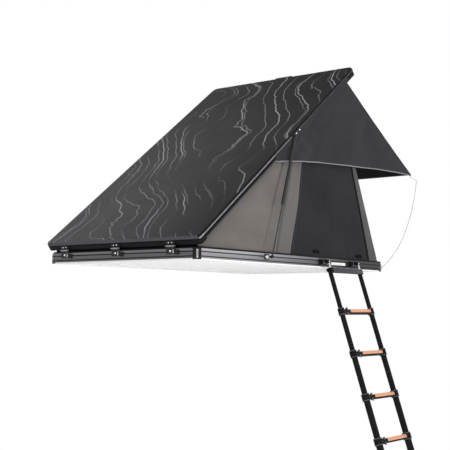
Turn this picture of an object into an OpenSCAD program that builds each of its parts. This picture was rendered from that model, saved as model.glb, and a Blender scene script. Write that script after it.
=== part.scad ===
// Roof top tent with a wedge-opening hard shell, drawn open as it stands in use.
// Origin at the centre of the underside, where it bolts to the roof bars.
// +X runs to the opening end, -Y is the ladder side and +Z is up.

/* [Base tray] */
// Length of the base frame
base_len = 2284; // [2150:1:2400]
// Width of the base frame
base_wid = 1270; // [1200:1:1400]
// Height of the base rails
base_h = 68; // [62:1:76]
// Width of a base rail
rail_w = 38; // [34:1:44]
// Wall of the base rails and of the lid's cross rail
rail_wall = 2.5; // [2:0.1:4]
// Width of the shadow grooves in the rails
groove_w = 3.6; // [2:0.1:3.8]
// Depth of the shadow grooves
groove_d = 5; // [3:0.5:6]
// Height of the upper groove in a base rail
groove_hi = 49; // [44:0.5:54]
// Height of the lower groove in a base rail
groove_lo = 20; // [16:0.5:26]
// Bottom chamfer of the base rails
rail_chamfer = 7; // [3:0.5:9]
// Radius of the base frame's upright corners
base_corner_r = 9; // [4:0.5:14]
// Length of the corner connectors' tenons
tenon_len = 40; // [20:1:60]
// Height of the ledge that carries the floor
ledge_h = 8; // [6:0.5:12]
// Width of the floor ledge
ledge_w = 14; // [8:0.5:24]
// Thickness of the floor panel
floor_t = 20; // [14:0.5:26]
// Thickness of the mattress at its edge
mattress_t = 36; // [25:1:45]
// Rise of the mattress from its edge to its crown
mattress_crown = 8; // [2:0.5:14]
// Width of the mounting bars under the floor
bar_w = 42; // [30:1:60]
// Length of the mounting bars
bar_len = 1500; // [1100:10:1900]
// Spacing of the mounting bolts along X
bolt_x = 900; // [600:10:1050]
// Spacing of the mounting bolts along Y
bolt_y = 800; // [600:10:1000]
// Diameter of the mounting bolt holes
bolt_hole = 8.5; // [6.5:0.1:10.5]

/* [Lid] */
// Reach of the lid beyond the base's opening end
lid_overhang = 38; // [32:1:60]
// Reach of the lid beyond each long side of the base
lid_side_over = 32; // [28:1:50]
// Depth of the lid from its top face to its rim
lid_h = 58; // [54:1:66]
// Set-back of the lid's hinge end from the base's end
lid_setback = 6; // [5:0.5:10]
// Gap between the base rails and the rim of the closed lid
seal_gap = 12; // [9:0.5:16]
// Angle of the open lid
open_angle = 37.2; // [25:0.1:45]
// Width of a lid rail
lid_rail_w = 50; // [46:1:64]
// Outer wall of a lid rail, with its grooves
lid_wall = 9; // [8:0.5:12]
// Flange thickness of the lid rails
lid_flange = 3; // [2:0.1:4]
// Width of the bevel round the lid's top edge
bevel_w = 8; // [4:0.5:10]
// Height of the bevel on the lid's long sides
bevel_side_h = 11; // [6:0.5:14]
// Height of the bevel on the lid's ends
bevel_end_h = 19; // [10:0.5:22]
// Thickness of the lid's skin
skin_t = 3; // [2:0.1:5]
// Thickness of the lid's lining
liner_t = 22; // [14:0.5:26]
// Plan radius of the lid's corners at the opening end
corner_r_open = 44; // [20:1:46]
// Plan radius of the lid's corners at the hinge end
corner_r_hinge = 22; // [12:1:40]
// Distance of the awning's seam from the lid's opening end
awning_inset = 158; // [154:1:200]
// Length of the lid's pull handle
handle_len = 190; // [120:1:260]
// Offset of the handle from the middle
handle_shift = -18; // [-60:1:60]
// Reach of the handle beyond the lid's end
handle_reach = 20; // [12:0.5:30]

/* [Seals and hinges] */
// Width of the rubber seal on the base
seal_w = 12; // [8:0.5:14]
// Width of a hinge
hinge_w = 72; // [50:1:100]
// Spacing of the three hinges
hinge_pitch = 464; // [350:1:520]
// Offset of the hinge row from the middle
hinge_shift = 38; // [-40:1:40]
// Distance of the hinge pin out from the base's end
hinge_out = 7; // [6.5:0.1:9]
// Height of the hinge pin above the base rails
hinge_rise = 17; // [15:0.5:20]
// Radius of a hinge pin
pin_r = 3; // [2:0.1:4]
// Radius of a hinge knuckle
knuckle_r = 6; // [5:0.1:6.4]
// Thickness of a hinge leaf
leaf_t = 4; // [3:0.1:4.5]
// Height of a hinge leaf on its rail
leaf_h = 32; // [24:0.5:34]
// Share of the hinge's width that the lid's knuckle takes
lid_knuckle_w = 34; // [20:1:44]

/* [Gas struts] */
// Distance of the strut's base pivot from the base's hinge end
strut_base_in = 721; // [580:1:840]
// Height of the strut's base pivot
strut_base_z = 44; // [36:0.5:50]
// Distance of the strut's lid pivot from the lid's hinge end
strut_lid_in = 1271; // [1130:1:1390]
// Depth of the strut's lid pivot below the lid's top face
strut_lid_drop = 23; // [21:0.5:30]
// Radius of the strut's cylinder
strut_r = 10; // [8:0.5:12]
// Radius of the strut's rod
rod_r = 4; // [3:0.1:5]
// Length of rod that shows when the lid is open
rod_show = 378; // [340:1:420]
// Clearance between the strut and the lid's side
strut_gap = 5; // [4.5:0.5:12]

/* [Tent cloth] */
// Thickness of the cloth solids
cloth_t = 2; // [1:0.1:3]
// Place of the rear wall's foot, in from the base's opening end
rear_foot = 24; // [22:0.5:40]
// Distance of the rear wall's head from the lid's opening end
rear_head_in = 284; // [220:1:480]
// Lean of the side walls, from foot to head
wall_lean = 24; // [8:0.5:30]
// Depth of the cloth's folds
fold_d = 4; // [1:0.5:6]
// Distance of the start of the awning's side from the lid's opening end
gusset_in = 1324; // [980:1:1580]
// Length of the awning's top sheet down its slope
awning_len = 1182; // [900:1:1300]
// Slope of the awning's top sheet
awning_pitch = 29.5; // [15:0.5:40]
// Set-in of the awning's edge from the lid's outer side
awning_edge = 8; // [4:0.5:14]

/* [Awning poles] */
// Radius of an awning pole
pole_r = 3.5; // [2.5:0.1:5]
// Distance of a pole's elbow beyond the awning's front corner
pole_past = 110; // [60:1:180]
// Depth of a pole's elbow below the awning's front corner
pole_drop = 41; // [10:0.1:60]
// Slope of a pole where it leaves its socket
pole_start = 25; // [10:0.5:35]
// Radius of a pole's elbow
pole_elbow_r = 12; // [8:0.5:20]
// Turn of a pole at its elbow
pole_elbow = 92; // [80:1:96]
// Length of a pole's tip beyond its elbow
pole_tip = 105; // [60:1:120]
// Outward tilt of a pole
pole_tilt = 2.6; // [0:0.1:4]
// Length of a pole's socket
socket_len = 34; // [24:1:40]

/* [Ladder] */
// Distance of the ladder's middle from the base's opening end
ladder_in = 637; // [440:1:940]
// Distance between the middles of the ladder's stiles
stile_gap = 417; // [340:1:460]
// Lean of the ladder from upright
ladder_lean = 18; // [8:0.5:25]
// Distance from the pivot to the first rung
first_rung = 375; // [330:1:420]
// Distance between rungs
rung_pitch = 308; // [280:1:330]
// Outer diameter of the top stile tubes
stile_od = 32; // [24:0.5:34]
// Wall of the stile tubes
stile_wall = 1.8; // [1.2:0.1:2.4]
// Running clearance between telescoping tubes
slide_gap = 0.3; // [0.2:0.05:0.6]
// Depth of a rung from front to back
rung_depth = 34; // [28:1:40]
// Height of a rung
rung_h = 33; // [26:1:38]
// Length of the release housing on a rung
housing_len = 72; // [40:1:100]
// Overlap of two tubes when extended
tube_overlap = 46; // [30:1:60]
// Length of the lowest tubes below their rung
ladder_tail = 330; // [318:1:380]
// Radius of a clamping knob
knob_r = 20; // [14:0.5:22]
// Distance of a clamping knob from its stile
knob_off = 45; // [43:0.5:60]

/* [Latches] */
// Distance of each latch from the middle
latch_y = 330; // [220:1:480]
// Length of the rubber latch strap
strap_len = 57; // [56:1:59]
// Width of the rubber latch strap
strap_w = 32; // [28:1:40]
// Width of the hook on the lid
hook_w = 14; // [8:0.5:16]

/* [Hidden] */
$fn = 48;

// Clearances
fit = 0.3;
run_fit = 0.05;
over = 1;

// Main places
base_x0 = -base_len / 2;
base_x1 = base_len / 2;
near_y = -base_wid / 2;
hinge_x = base_x0 - hinge_out;
hinge_z = base_h + hinge_rise;
lid_x0 = base_x0 + lid_setback;
lid_x1 = base_x1 + lid_overhang;
lid_len = lid_x1 - lid_x0;
lid_y = base_wid / 2 + lid_side_over;
lid_wid = 2 * lid_y;
lid_z0 = base_h + seal_gap;
lid_z1 = lid_z0 + lid_h;
liner_z = lid_z1 - skin_t - liner_t;
keder_x = lid_x1 - awning_inset;
rear_head_x = lid_x1 - rear_head_in;
gusset_x = lid_x1 - gusset_in;
ladder_x = base_x1 - ladder_in;
keder_w = awning_inset - lid_rail_w - fit;

// Rail chambers and grooves
chamber_u = groove_d + rail_wall;
chamber_w = rail_w - chamber_u - rail_wall;
lid_groove_hi = 43;
lid_groove_lo = 25;
lid_groove_end = 31;

// Seal places, in from the base's outer faces
seal_side_in = 4;
seal_hinge_in = 14;
seal_open_in = 4;
seal_h = seal_gap - fit;

// Colours
anodised = "#a9a9ad";
charcoal = "#343437";
black = "#1c1c1e";
steel = "#c9cacc";
wall_grey = "#74716d";
awning_grey = "#3b3a3d";
mesh_grey = "#2f2f31";

function mix(a, b, t) = a + (b - a) * t;

// A point of the closed lid, carried to the open lid
function lid_point(p) =
    let (dx = p[0] - hinge_x, dz = p[2] - hinge_z)
    [hinge_x + dx * cos(open_angle) - dz * sin(open_angle), p[1],
     hinge_z + dx * sin(open_angle) + dz * cos(open_angle)];

module on_lid() {
    translate([hinge_x, 0, hinge_z])
        rotate([0, -open_angle, 0])
            translate([-hinge_x, 0, -hinge_z])
                children();
}

module far_side() {
    mirror([0, 1, 0]) children();
}

// Runs a profile of inward distance and height along X or Y
module run_x(length) {
    rotate([90, 0, 90]) linear_extrude(length) children();
}

module run_y(length) {
    rotate([90, 0, 0]) linear_extrude(length, center = true) children();
}

// A rod along Y between two Y places
module rod_y(r, y_low, y_high) {
    translate([0, y_high, 0]) rotate([90, 0, 0]) cylinder(r = r, h = y_high - y_low);
}

// A corner with its outer edge rounded, from the corner at the origin towards +X and +Y
module corner_plan(size, inset, r) {
    radius = max(r - inset, 1);
    translate([inset + radius, inset]) square([size - inset - radius, size - inset]);
    translate([inset, inset + radius]) square([size - inset, size - inset - radius]);
    translate([inset + radius, inset + radius])
        intersection() {
            circle(radius);
            translate([-radius, -radius]) square(radius + 0.01);
        }
}

// Base tray

module base_rail_profile(ledge) {
    difference() {
        union() {
            polygon([[0, rail_chamfer], [rail_chamfer * 0.7, 0], [rail_w, 0], [rail_w, base_h],
                [0, base_h]]);
            if (ledge)
                translate([rail_w - over, 0]) square([ledge_w + over, ledge_h]);
        }
        for (v = [groove_lo, groove_hi])
            translate([-over, v - groove_w / 2]) square([groove_d + over, groove_w]);
        translate([chamber_u, rail_wall]) square([chamber_w, base_h - 2 * rail_wall]);
    }
}

module base_side_rail() {
    translate([base_x0 + rail_w, near_y, 0])
        run_x(base_len - 2 * rail_w) base_rail_profile(true);
}

module base_end_rail() {
    translate([base_x0, 0, 0]) run_y(base_wid - 2 * rail_w) base_rail_profile(false);
}

module base_rail_near() {
    color(anodised) base_side_rail();
}

module base_rail_far() {
    color(anodised) far_side() base_side_rail();
}

module base_rail_hinge_end() {
    color(anodised) base_end_rail();
}

module base_rail_opening_end() {
    color(anodised) mirror([1, 0, 0]) base_end_rail();
}

// One corner casting: a rounded post with recessed panels and a tenon into each rail
module corner_connector() {
    panel_in = 6;
    panel_d = 2;
    panel_edge = 3;
    difference() {
        linear_extrude(base_h) corner_plan(rail_w, 0, base_corner_r);
        for (zone = [[groove_lo, groove_hi], [groove_hi, base_h]]) {
            low = zone[0] + panel_edge;
            tall = zone[1] - zone[0] - 2 * panel_edge;
            translate([base_corner_r + panel_edge, -over, low])
                cube([rail_w - base_corner_r - panel_in, panel_d + over, tall]);
            translate([-over, base_corner_r + panel_edge, low])
                cube([panel_d + over, rail_w - base_corner_r - panel_in, tall]);
        }
    }
    translate([rail_w - over, chamber_u + fit, rail_wall + fit])
        cube([tenon_len + over, chamber_w - 2 * fit, base_h - 2 * rail_wall - 2 * fit]);
    translate([chamber_u + fit, rail_w - over, rail_wall + fit])
        cube([chamber_w - 2 * fit, tenon_len + over, base_h - 2 * rail_wall - 2 * fit]);
}

module base_corner_connectors() {
    color(black)
        for (sx = [-1, 1], sy = [-1, 1])
            translate([sx * base_len / 2, sy * base_wid / 2, 0])
                mirror([sx > 0 ? 1 : 0, 0, 0])
                    mirror([0, sy > 0 ? 1 : 0, 0])
                        corner_connector();
}

module floor_panel() {
    length = base_len - 2 * rail_w - 2 * fit;
    width = base_wid - 2 * rail_w - 2 * fit;
    color("#d9dadb")
        translate([-length / 2, -width / 2, ledge_h]) cube([length, width, floor_t]);
}

// Two drilled bars under the floor take the roof bar bolts
module roof_bar_rails() {
    color(anodised)
        for (sy = [-1, 1])
            difference() {
                translate([-bar_len / 2, sy * bolt_y / 2 - bar_w / 2, 0])
                    cube([bar_len, bar_w, ledge_h]);
                for (sx = [-1, 1])
                    translate([sx * bolt_x / 2, sy * bolt_y / 2, -over])
                        cylinder(d = bolt_hole, h = ledge_h + 2 * over);
            }
}

module seal_profile(inset) {
    bead = seal_w / 2;
    translate([inset, 0]) square([seal_w, seal_h - bead]);
    translate([inset + bead, seal_h - bead])
        intersection() {
            circle(bead);
            translate([-bead, -0.01]) square([seal_w, seal_w]);
        }
}

module base_seal() {
    side_x0 = base_x0 + seal_hinge_in;
    side_len = base_len - seal_hinge_in - seal_open_in;
    end_len = base_wid - 2 * (seal_side_in + seal_w);
    color(black) translate([0, 0, base_h]) {
        for (sy = [0, 1])
            mirror([0, sy, 0])
                translate([side_x0, near_y, 0]) run_x(side_len) seal_profile(seal_side_in);
        translate([base_x0, 0, 0]) run_y(end_len) seal_profile(seal_hinge_in);
        mirror([1, 0, 0]) translate([base_x0, 0, 0]) run_y(end_len) seal_profile(seal_open_in);
    }
}

// Mattress with a crown and edges that draw in
module mattress() {
    play = 8;
    r = 50;
    half_x = base_len / 2 - rail_w - play - r;
    half_y = base_wid / 2 - rail_w - play - r;
    edge_in = 10;
    crown_in = 160;
    color("#5b5c60")
        translate([0, 0, ledge_h + floor_t])
            hull() {
                for (sx = [-1, 1], sy = [-1, 1]) {
                    translate([sx * half_x, sy * half_y, 0])
                        cylinder(r = r - edge_in, h = mattress_t, $fn = 24);
                    translate([sx * half_x, sy * half_y, edge_in])
                        cylinder(r = r, h = mattress_t - 2 * edge_in, $fn = 24);
                    translate([sx * (half_x - crown_in), sy * (half_y - crown_in), 0])
                        cylinder(r = r, h = mattress_t + mattress_crown, $fn = 24);
                }
            }
}

// Hinges

module at_hinges() {
    for (i = [-1, 0, 1])
        translate([hinge_x, hinge_shift + i * hinge_pitch, hinge_z]) children();
}

module hinge_base_leaves() {
    slot_w = lid_knuckle_w + 2 * fit;
    color(black)
        at_hinges()
            difference() {
                union() {
                    translate([hinge_out - leaf_t, -hinge_w / 2, -hinge_rise - leaf_h])
                        cube([leaf_t, hinge_w, leaf_h + hinge_rise]);
                    rod_y(knuckle_r, -hinge_w / 2, hinge_w / 2);
                }
                translate([-knuckle_r - over, -slot_w / 2, -knuckle_r - over])
                    cube([2 * knuckle_r + leaf_t + 2 * over, slot_w, 2 * knuckle_r + 2 * over]);
                rod_y(pin_r + run_fit, -hinge_w, hinge_w);
            }
}

module hinge_pins() {
    head = 3;
    color(steel)
        at_hinges() {
            rod_y(pin_r, -hinge_w / 2 - fit, hinge_w / 2 + fit);
            for (sy = [-1, 1])
                translate([0, sy * (hinge_w / 2 + fit + head / 2), 0])
                    rod_y(pin_r + 1.5, -head / 2, head / 2);
        }
}

module hinge_lid_leaves() {
    reach = hinge_out + lid_setback;
    arm = 5;
    color(black) on_lid()
        at_hinges()
            difference() {
                union() {
                    translate([reach - leaf_t, -hinge_w / 2, -arm / 2])
                        cube([leaf_t, hinge_w, leaf_h]);
                    translate([0, -lid_knuckle_w / 2, -arm / 2]) cube([reach, lid_knuckle_w, arm]);
                    rod_y(knuckle_r, -lid_knuckle_w / 2, lid_knuckle_w / 2);
                }
                rod_y(pin_r + run_fit, -hinge_w, hinge_w);
            }
}

// Black weather flap between the base and the lid's hinge end
module hinge_flap() {
    foot = [base_x0 + seal_hinge_in + seal_w + 2, 0, base_h + fit];
    head = lid_point([base_x0 + lid_rail_w - 18, 0, lid_z0 - fit]);
    color(black)
        run_y(base_wid - 2 * rail_w - 14)
            polygon([[foot[0], foot[2]], [head[0], head[2]], [head[0] + cloth_t, head[2]],
                [foot[0] + cloth_t, foot[2]]]);
}

// Lid

module lid_rail_profile(bevel_h, grooves) {
    top = lid_h - skin_t;
    difference() {
        polygon([[0, 0], [lid_rail_w, 0], [lid_rail_w, lid_flange], [lid_wall, lid_flange],
            [lid_wall, top - lid_flange], [lid_rail_w, top - lid_flange], [lid_rail_w, top],
            [bevel_w, top], [bevel_w, lid_h], [0, lid_h - bevel_h]]);
        for (v = grooves)
            translate([-over, v - groove_w / 2]) square([groove_d + over, groove_w]);
    }
}

module lid_side_rail() {
    on_lid()
        translate([lid_x0 + lid_rail_w, -lid_y, lid_z0])
            run_x(lid_len - 2 * lid_rail_w)
                lid_rail_profile(bevel_side_h, [lid_groove_lo, lid_groove_hi]);
}

module lid_end_rail() {
    run_y(lid_wid - 2 * lid_rail_w) lid_rail_profile(bevel_end_h, [lid_groove_end]);
}

module lid_rail_near() {
    color(charcoal) lid_side_rail();
}

module lid_rail_far() {
    color(charcoal) far_side() lid_side_rail();
}

module lid_rail_hinge_end() {
    color(charcoal) on_lid() translate([lid_x0, 0, lid_z0]) lid_end_rail();
}

module lid_rail_opening_end() {
    color(charcoal) on_lid() translate([lid_x1, 0, lid_z0]) mirror([1, 0, 0]) lid_end_rail();
}

// One lid corner, open to the inside, with the bevel carried round it
module lid_corner_cap(r) {
    slice = 0.1;
    top = lid_h - skin_t;
    difference() {
        hull() {
            linear_extrude(lid_h - bevel_side_h) corner_plan(lid_rail_w, 0, r, $fn = 32);
            translate([0, 0, lid_h - slice])
                linear_extrude(slice) corner_plan(lid_rail_w, bevel_w, r, $fn = 32);
        }
        translate([0, 0, top])
            linear_extrude(skin_t + over) corner_plan(lid_rail_w + over, bevel_w, r, $fn = 32);
        translate([0, 0, lid_flange])
            linear_extrude(top - 2 * lid_flange) corner_plan(lid_rail_w + over, lid_wall, r, $fn = 32);
    }
}

module lid_corner_caps() {
    color(black) on_lid()
        for (sx = [-1, 1], sy = [-1, 1])
            translate([sx < 0 ? lid_x0 : lid_x1, sy * lid_y, lid_z0])
                mirror([sx > 0 ? 1 : 0, 0, 0])
                    mirror([0, sy > 0 ? 1 : 0, 0])
                        lid_corner_cap(sx < 0 ? corner_r_hinge : corner_r_open);
}

// Half of the skin's outline, with the lid's corner radii
module skin_half_plan(inset) {
    r0 = corner_r_hinge - inset;
    r1 = corner_r_open - inset;
    x0 = lid_x0 + inset;
    x1 = lid_x1 - inset;
    y0 = -lid_y + inset;
    translate([x0 + r0, y0]) square([x1 - x0 - r0 - r1, -y0]);
    translate([x0, y0 + r0]) square([x1 - x0 - r1, -y0 - r0]);
    translate([x0, y0 + r1]) square([x1 - x0, -y0 - r1]);
    translate([x0 + r0, y0 + r0]) circle(r0);
    translate([x1 - r1, y0 + r1]) circle(r1);
}

module lid_skin() {
    color("#2c2c2f") on_lid()
        translate([0, 0, lid_z1 - skin_t])
            linear_extrude(skin_t) {
                skin_half_plan(bevel_w + fit);
                far_side() skin_half_plan(bevel_w + fit);
            }
}

module lid_liner() {
    inset = lid_rail_w + fit;
    color("#8d8c8a") on_lid()
        translate([lid_x0 + inset, -lid_y + inset, liner_z])
            cube([lid_len - 2 * inset, lid_wid - 2 * inset, liner_t]);
}

// Cross rail under the lid: it carries the awning's seam and closes on the seal
module lid_keder_rail() {
    height = liner_z - lid_z0;
    color(charcoal) on_lid()
        translate([keder_x, 0, lid_z0])
            run_y(lid_wid - 2 * lid_rail_w - 2 * fit)
                difference() {
                    square([keder_w, height]);
                    translate([rail_wall, rail_wall])
                        square([keder_w - 2 * rail_wall, height - 2 * rail_wall]);
                }
}

// Moulded pull handle on the lid's opening end, with a ramp at each end of its grip
module lid_handle() {
    foot_t = 6;
    foot_h = 26;
    grip_t = 12;
    grip_rise = -4;
    ramp = 22;
    face_top = lid_z1 - bevel_end_h;
    tall = lid_z1 + grip_rise - face_top + grip_t;
    color(black) on_lid()
        translate([lid_x1, handle_shift, 0]) {
            translate([0, -handle_len / 2, face_top - foot_h])
                cube([foot_t, handle_len, foot_h]);
            difference() {
                translate([foot_t - over, 0, face_top - grip_t])
                    rotate([90, 0, 90])
                        linear_extrude(handle_reach - foot_t + over)
                            polygon([[-handle_len / 2, 0], [handle_len / 2, 0],
                                [handle_len / 2 - ramp, tall], [-handle_len / 2 + ramp, tall]]);
                translate([foot_t + 2, -handle_len / 2 + ramp, face_top - grip_t - over])
                    cube([handle_reach, handle_len - 2 * ramp, grip_t]);
            }
        }
}

// Gas struts

strut_y = -lid_y - strut_gap - strut_r;
strut_base_x = base_x0 + strut_base_in;
strut_lid_x = lid_x0 + strut_lid_in;
strut_base = [strut_base_x, strut_y, strut_base_z];
strut_lid_z = lid_z1 - strut_lid_drop;
strut_head = lid_point([strut_lid_x, strut_y, strut_lid_z]);
strut_dx = strut_head[0] - strut_base[0];
strut_dz = strut_head[2] - strut_base[2];
strut_len = norm([strut_dx, strut_dz]);
strut_angle = atan2(strut_dz, strut_dx);
eye_r = 8;
eye_t = 14;

// The strut's own line from its base pivot; side is 1 for the near strut and -1 for the far one
module along_strut(side) {
    translate([strut_base[0], side * strut_y, strut_base[2]])
        rotate([0, -strut_angle, 0])
            children();
}

module along_x(r, x_low, x_high) {
    translate([x_low, 0, 0]) rotate([0, 90, 0]) cylinder(r = r, h = x_high - x_low);
}

module strut_rod(side) {
    inside = 60;
    along_strut(side)
        difference() {
            union() {
                rod_y(eye_r, -eye_t / 2, eye_t / 2);
                along_x(rod_r + 2, 0, eye_r + 10);
                along_x(rod_r, eye_r, rod_show + inside);
            }
            rod_y(rod_r + run_fit, -eye_t, eye_t);
        }
}

module strut_rod_near() {
    color(steel) strut_rod(1);
}

module strut_rod_far() {
    color(steel) strut_rod(-1);
}

module strut_cylinder(side) {
    neck = 14;
    end_wall = 40;
    lug = strut_r;
    outer = -6;
    inner = strut_r;
    along_strut(side)
        difference() {
            union() {
                along_x(strut_r, rod_show, strut_len - neck);
                translate([strut_len - neck - over, -lug / 2, -lug / 2])
                    cube([neck + over, lug, lug]);
                translate([strut_len, 0, 0])
                    rod_y(strut_r - 1, side > 0 ? outer : -inner, side > 0 ? inner : -outer);
            }
            along_x(rod_r + 2 * run_fit, rod_show - over, strut_len - end_wall);
        }
}

module strut_cylinder_near() {
    color(black) strut_cylinder(1);
}

module strut_cylinder_far() {
    color(black) strut_cylinder(-1);
}

// Plate on the base's side with a stud, a washer and a cap that hold the rod's eye
module strut_base_bracket() {
    plate_l = 44;
    plate_t = 5;
    washer_t = 2.5;
    cap_t = 3;
    eye_in = strut_y + eye_t / 2 + fit;
    eye_out = strut_y - eye_t / 2 - fit;
    plate_z0 = groove_lo + 8;
    plate_h = base_h - plate_z0 - 4;
    translate([strut_base_x - plate_l / 2, near_y - plate_t, plate_z0])
        cube([plate_l, plate_t, plate_h]);
    translate([strut_base_x, 0, strut_base_z]) {
        rod_y(rod_r, eye_out - cap_t, near_y - plate_t + over);
        rod_y(eye_r + 2, eye_in, eye_in + washer_t);
        rod_y(eye_r - 1, eye_out - cap_t, eye_out);
    }
}

module strut_base_brackets() {
    color(steel) {
        strut_base_bracket();
        far_side() strut_base_bracket();
    }
}

// Plate on the lid's side whose boss stops just short of the strut's socket
module strut_lid_bracket() {
    plate_x = 16;
    plate_l = 118;
    plate_t = 3;
    plate_h = 20;
    boss_end = strut_y + strut_r + fit;
    translate([strut_lid_x - plate_x, -lid_y - plate_t, strut_lid_z - plate_h / 2])
        cube([plate_l, plate_t, plate_h]);
    translate([strut_lid_x, 0, strut_lid_z]) rod_y(eye_r, boss_end, -lid_y - plate_t + over);
}

module strut_lid_brackets() {
    color(black) on_lid() {
        strut_lid_bracket();
        far_side() strut_lid_bracket();
    }
}

// Tent cloth

// A closed sheet between two equal grids of points, the front one facing out
module sheet_between(front, back) {
    nu = len(front);
    nv = len(front[0]);
    points = [for (grid = [front, back]) for (row = grid) for (p = row) p];
    function id(s, i, j) = (s * nu + i) * nv + j;
    faces = [
        for (i = [0 : nu - 2]) for (j = [0 : nv - 2]) each [
            [id(0, i, j), id(0, i, j + 1), id(0, i + 1, j + 1)],
            [id(0, i, j), id(0, i + 1, j + 1), id(0, i + 1, j)],
            [id(1, i, j), id(1, i + 1, j + 1), id(1, i, j + 1)],
            [id(1, i, j), id(1, i + 1, j), id(1, i + 1, j + 1)]],
        for (i = [0 : nu - 2]) each [
            [id(0, i, 0), id(0, i + 1, 0), id(1, i + 1, 0)],
            [id(0, i, 0), id(1, i + 1, 0), id(1, i, 0)],
            [id(0, i, nv - 1), id(1, i + 1, nv - 1), id(0, i + 1, nv - 1)],
            [id(0, i, nv - 1), id(1, i, nv - 1), id(1, i + 1, nv - 1)]],
        for (j = [0 : nv - 2]) each [
            [id(0, 0, j), id(1, 0, j + 1), id(0, 0, j + 1)],
            [id(0, 0, j), id(1, 0, j), id(1, 0, j + 1)],
            [id(0, nu - 1, j), id(0, nu - 1, j + 1), id(1, nu - 1, j + 1)],
            [id(0, nu - 1, j), id(1, nu - 1, j + 1), id(1, nu - 1, j)]]];
    polyhedron(points = points, faces = faces);
}

// Steps across a span from 0 to 1
function steps(n) = [for (i = [0 : n]) i / n];

// Side wall: from the base rail to the lid's rim, leaning out, with upright folds
wall_foot_y = near_y + seal_side_in + seal_w + 5;
wall_foot_z = base_h + fit;
wall_start = base_x0 + seal_hinge_in + seal_w + 1;
wall_folds = 5;
// Share of the wall's length over which its lean grows from the hinge end
lean_span = 0.1;

function wall_point(u, v) =
    let (foot = [mix(wall_start, base_x1 - rear_foot, u), wall_foot_y, wall_foot_z],
         lean = wall_lean * min(1, u / lean_span),
         head = lid_point([mix(wall_start + 4, rear_head_x, u), wall_foot_y - lean, lid_z0 - fit]),
         fold = fold_d * sin(360 * wall_folds * u) * sin(180 * v))
    mix(foot, head, v) + [0, fold, 0];

module wall_sheet() {
    across = steps(48);
    up = steps(6);
    half = [0, cloth_t / 2, 0];
    sheet_between([for (u = across) [for (v = up) wall_point(u, v) - half]],
        [for (u = across) [for (v = up) wall_point(u, v) + half]]);
}

module wall_near() {
    color(wall_grey) wall_sheet();
}

module wall_far() {
    color(wall_grey) far_side() wall_sheet();
}

// Door panel on the side wall, between two curved edges of the wall's own grid
// Each edge as its share of the wall's length at the foot and how that grows with height
door_left = [0.45, 0.175, 0.1];
door_right = [0.943, 0.05, 0];
panel_gap = 0.9;
door_low = 0.012;
door_high = 0.93;

function edge_at(edge, v) = edge[0] + edge[1] * v + edge[2] * v * v;

function door_point(a, b) =
    let (v = mix(door_low, door_high, b))
    wall_point(mix(edge_at(door_left, v), edge_at(door_right, v), a), v);

module door_sheet() {
    across = steps(18);
    up = steps(14);
    inner = [0, cloth_t / 2 + panel_gap, 0];
    outer = inner + [0, cloth_t, 0];
    sheet_between([for (a = across) [for (b = up) door_point(a, b) - outer]],
        [for (a = across) [for (b = up) door_point(a, b) - inner]]);
}

module door_panel_near() {
    color(mesh_grey) door_sheet();
}

module door_panel_far() {
    color(mesh_grey) far_side() door_sheet();
}

// Rear wall, leaning in to the lid's lining
rear_half = base_wid / 2 - seal_side_in - seal_w - 5 - cloth_t - 2 * fold_d;
rear_head = lid_point([rear_head_x, 0, liner_z - fit]);
rear_foot_z = wall_foot_z + cloth_t / 2;
rear_slope = [rear_head[0] - base_x1 + rear_foot, 0, rear_head[2] - rear_foot_z - cloth_t];
rear_normal = [rear_slope[2], 0, -rear_slope[0]] / norm(rear_slope);

function rear_point(u, v) =
    [base_x1 - rear_foot, mix(-rear_half, rear_half, u), rear_foot_z] + rear_slope * v
    + rear_normal * fold_d * sin(360 * 2 * u) * sin(180 * v);

module wall_rear() {
    across = steps(24);
    up = steps(5);
    half = rear_normal * cloth_t / 2;
    color(wall_grey)
        sheet_between([for (u = across) [for (v = up) rear_point(u, v) + half]],
            [for (u = across) [for (v = up) rear_point(u, v) - half]]);
}

module window_panel_rear() {
    across = [for (a = steps(10)) mix(0.16, 0.84, a)];
    up = [for (b = steps(5)) mix(0.08, 0.82, b)];
    inner = rear_normal * (cloth_t / 2 + panel_gap);
    outer = inner + rear_normal * cloth_t;
    color(mesh_grey)
        sheet_between([for (u = across) [for (v = up) rear_point(u, v) + outer]],
            [for (u = across) [for (v = up) rear_point(u, v) + inner]]);
}

// Awning: a top sheet from the cross rail and a three-cornered side under each edge of the lid
awning_y = lid_y - awning_edge;
awning_root = lid_point([keder_x, 0, lid_z0 - cloth_t / 2 - fit]);
awning_dir = [cos(awning_pitch), 0, -sin(awning_pitch)];
awning_up = [sin(awning_pitch), 0, cos(awning_pitch)];
awning_sag = 10;

function awning_point(u, v) =
    awning_root + awning_dir * awning_len * (1 - v) + [0, mix(-awning_y, awning_y, u), 0]
    - awning_up * awning_sag * sin(180 * v) * (1 - 0.3 * cos(360 * 3 * u));

module awning_sheet() {
    across = steps(18);
    down = steps(6);
    half = awning_up * cloth_t / 2;
    color(awning_grey)
        sheet_between([for (u = across) [for (v = down) awning_point(u, v) + half]],
            [for (u = across) [for (v = down) awning_point(u, v) - half]]);
}

// Sag of the top sheet along its edges
edge_sag = awning_sag * 0.7;

// Corners of the awning's side, in the plane of its edge
side_drop = 2 * cloth_t;
side_start = lid_point([gusset_x, 0, lid_z0 - fit]);
side_peak = lid_point([keder_x, 0, lid_z0 - fit]);
side_tip = awning_root + awning_dir * awning_len;
side_span = side_tip - side_start;
// The split runs from the peak square to the top sheet, down to the hem
split_t = ((side_peak[0] - side_start[0]) * side_span[2] - (side_peak[2] - side_start[2]) * side_span[0])
    / (awning_up[0] * side_span[2] - awning_up[2] * side_span[0]);
side_split = side_peak - awning_up * split_t;
split_share = norm(side_split - side_start) / norm(side_span);
hem_folds = 3;
hem_rise = 23;
side_end = 4;

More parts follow.
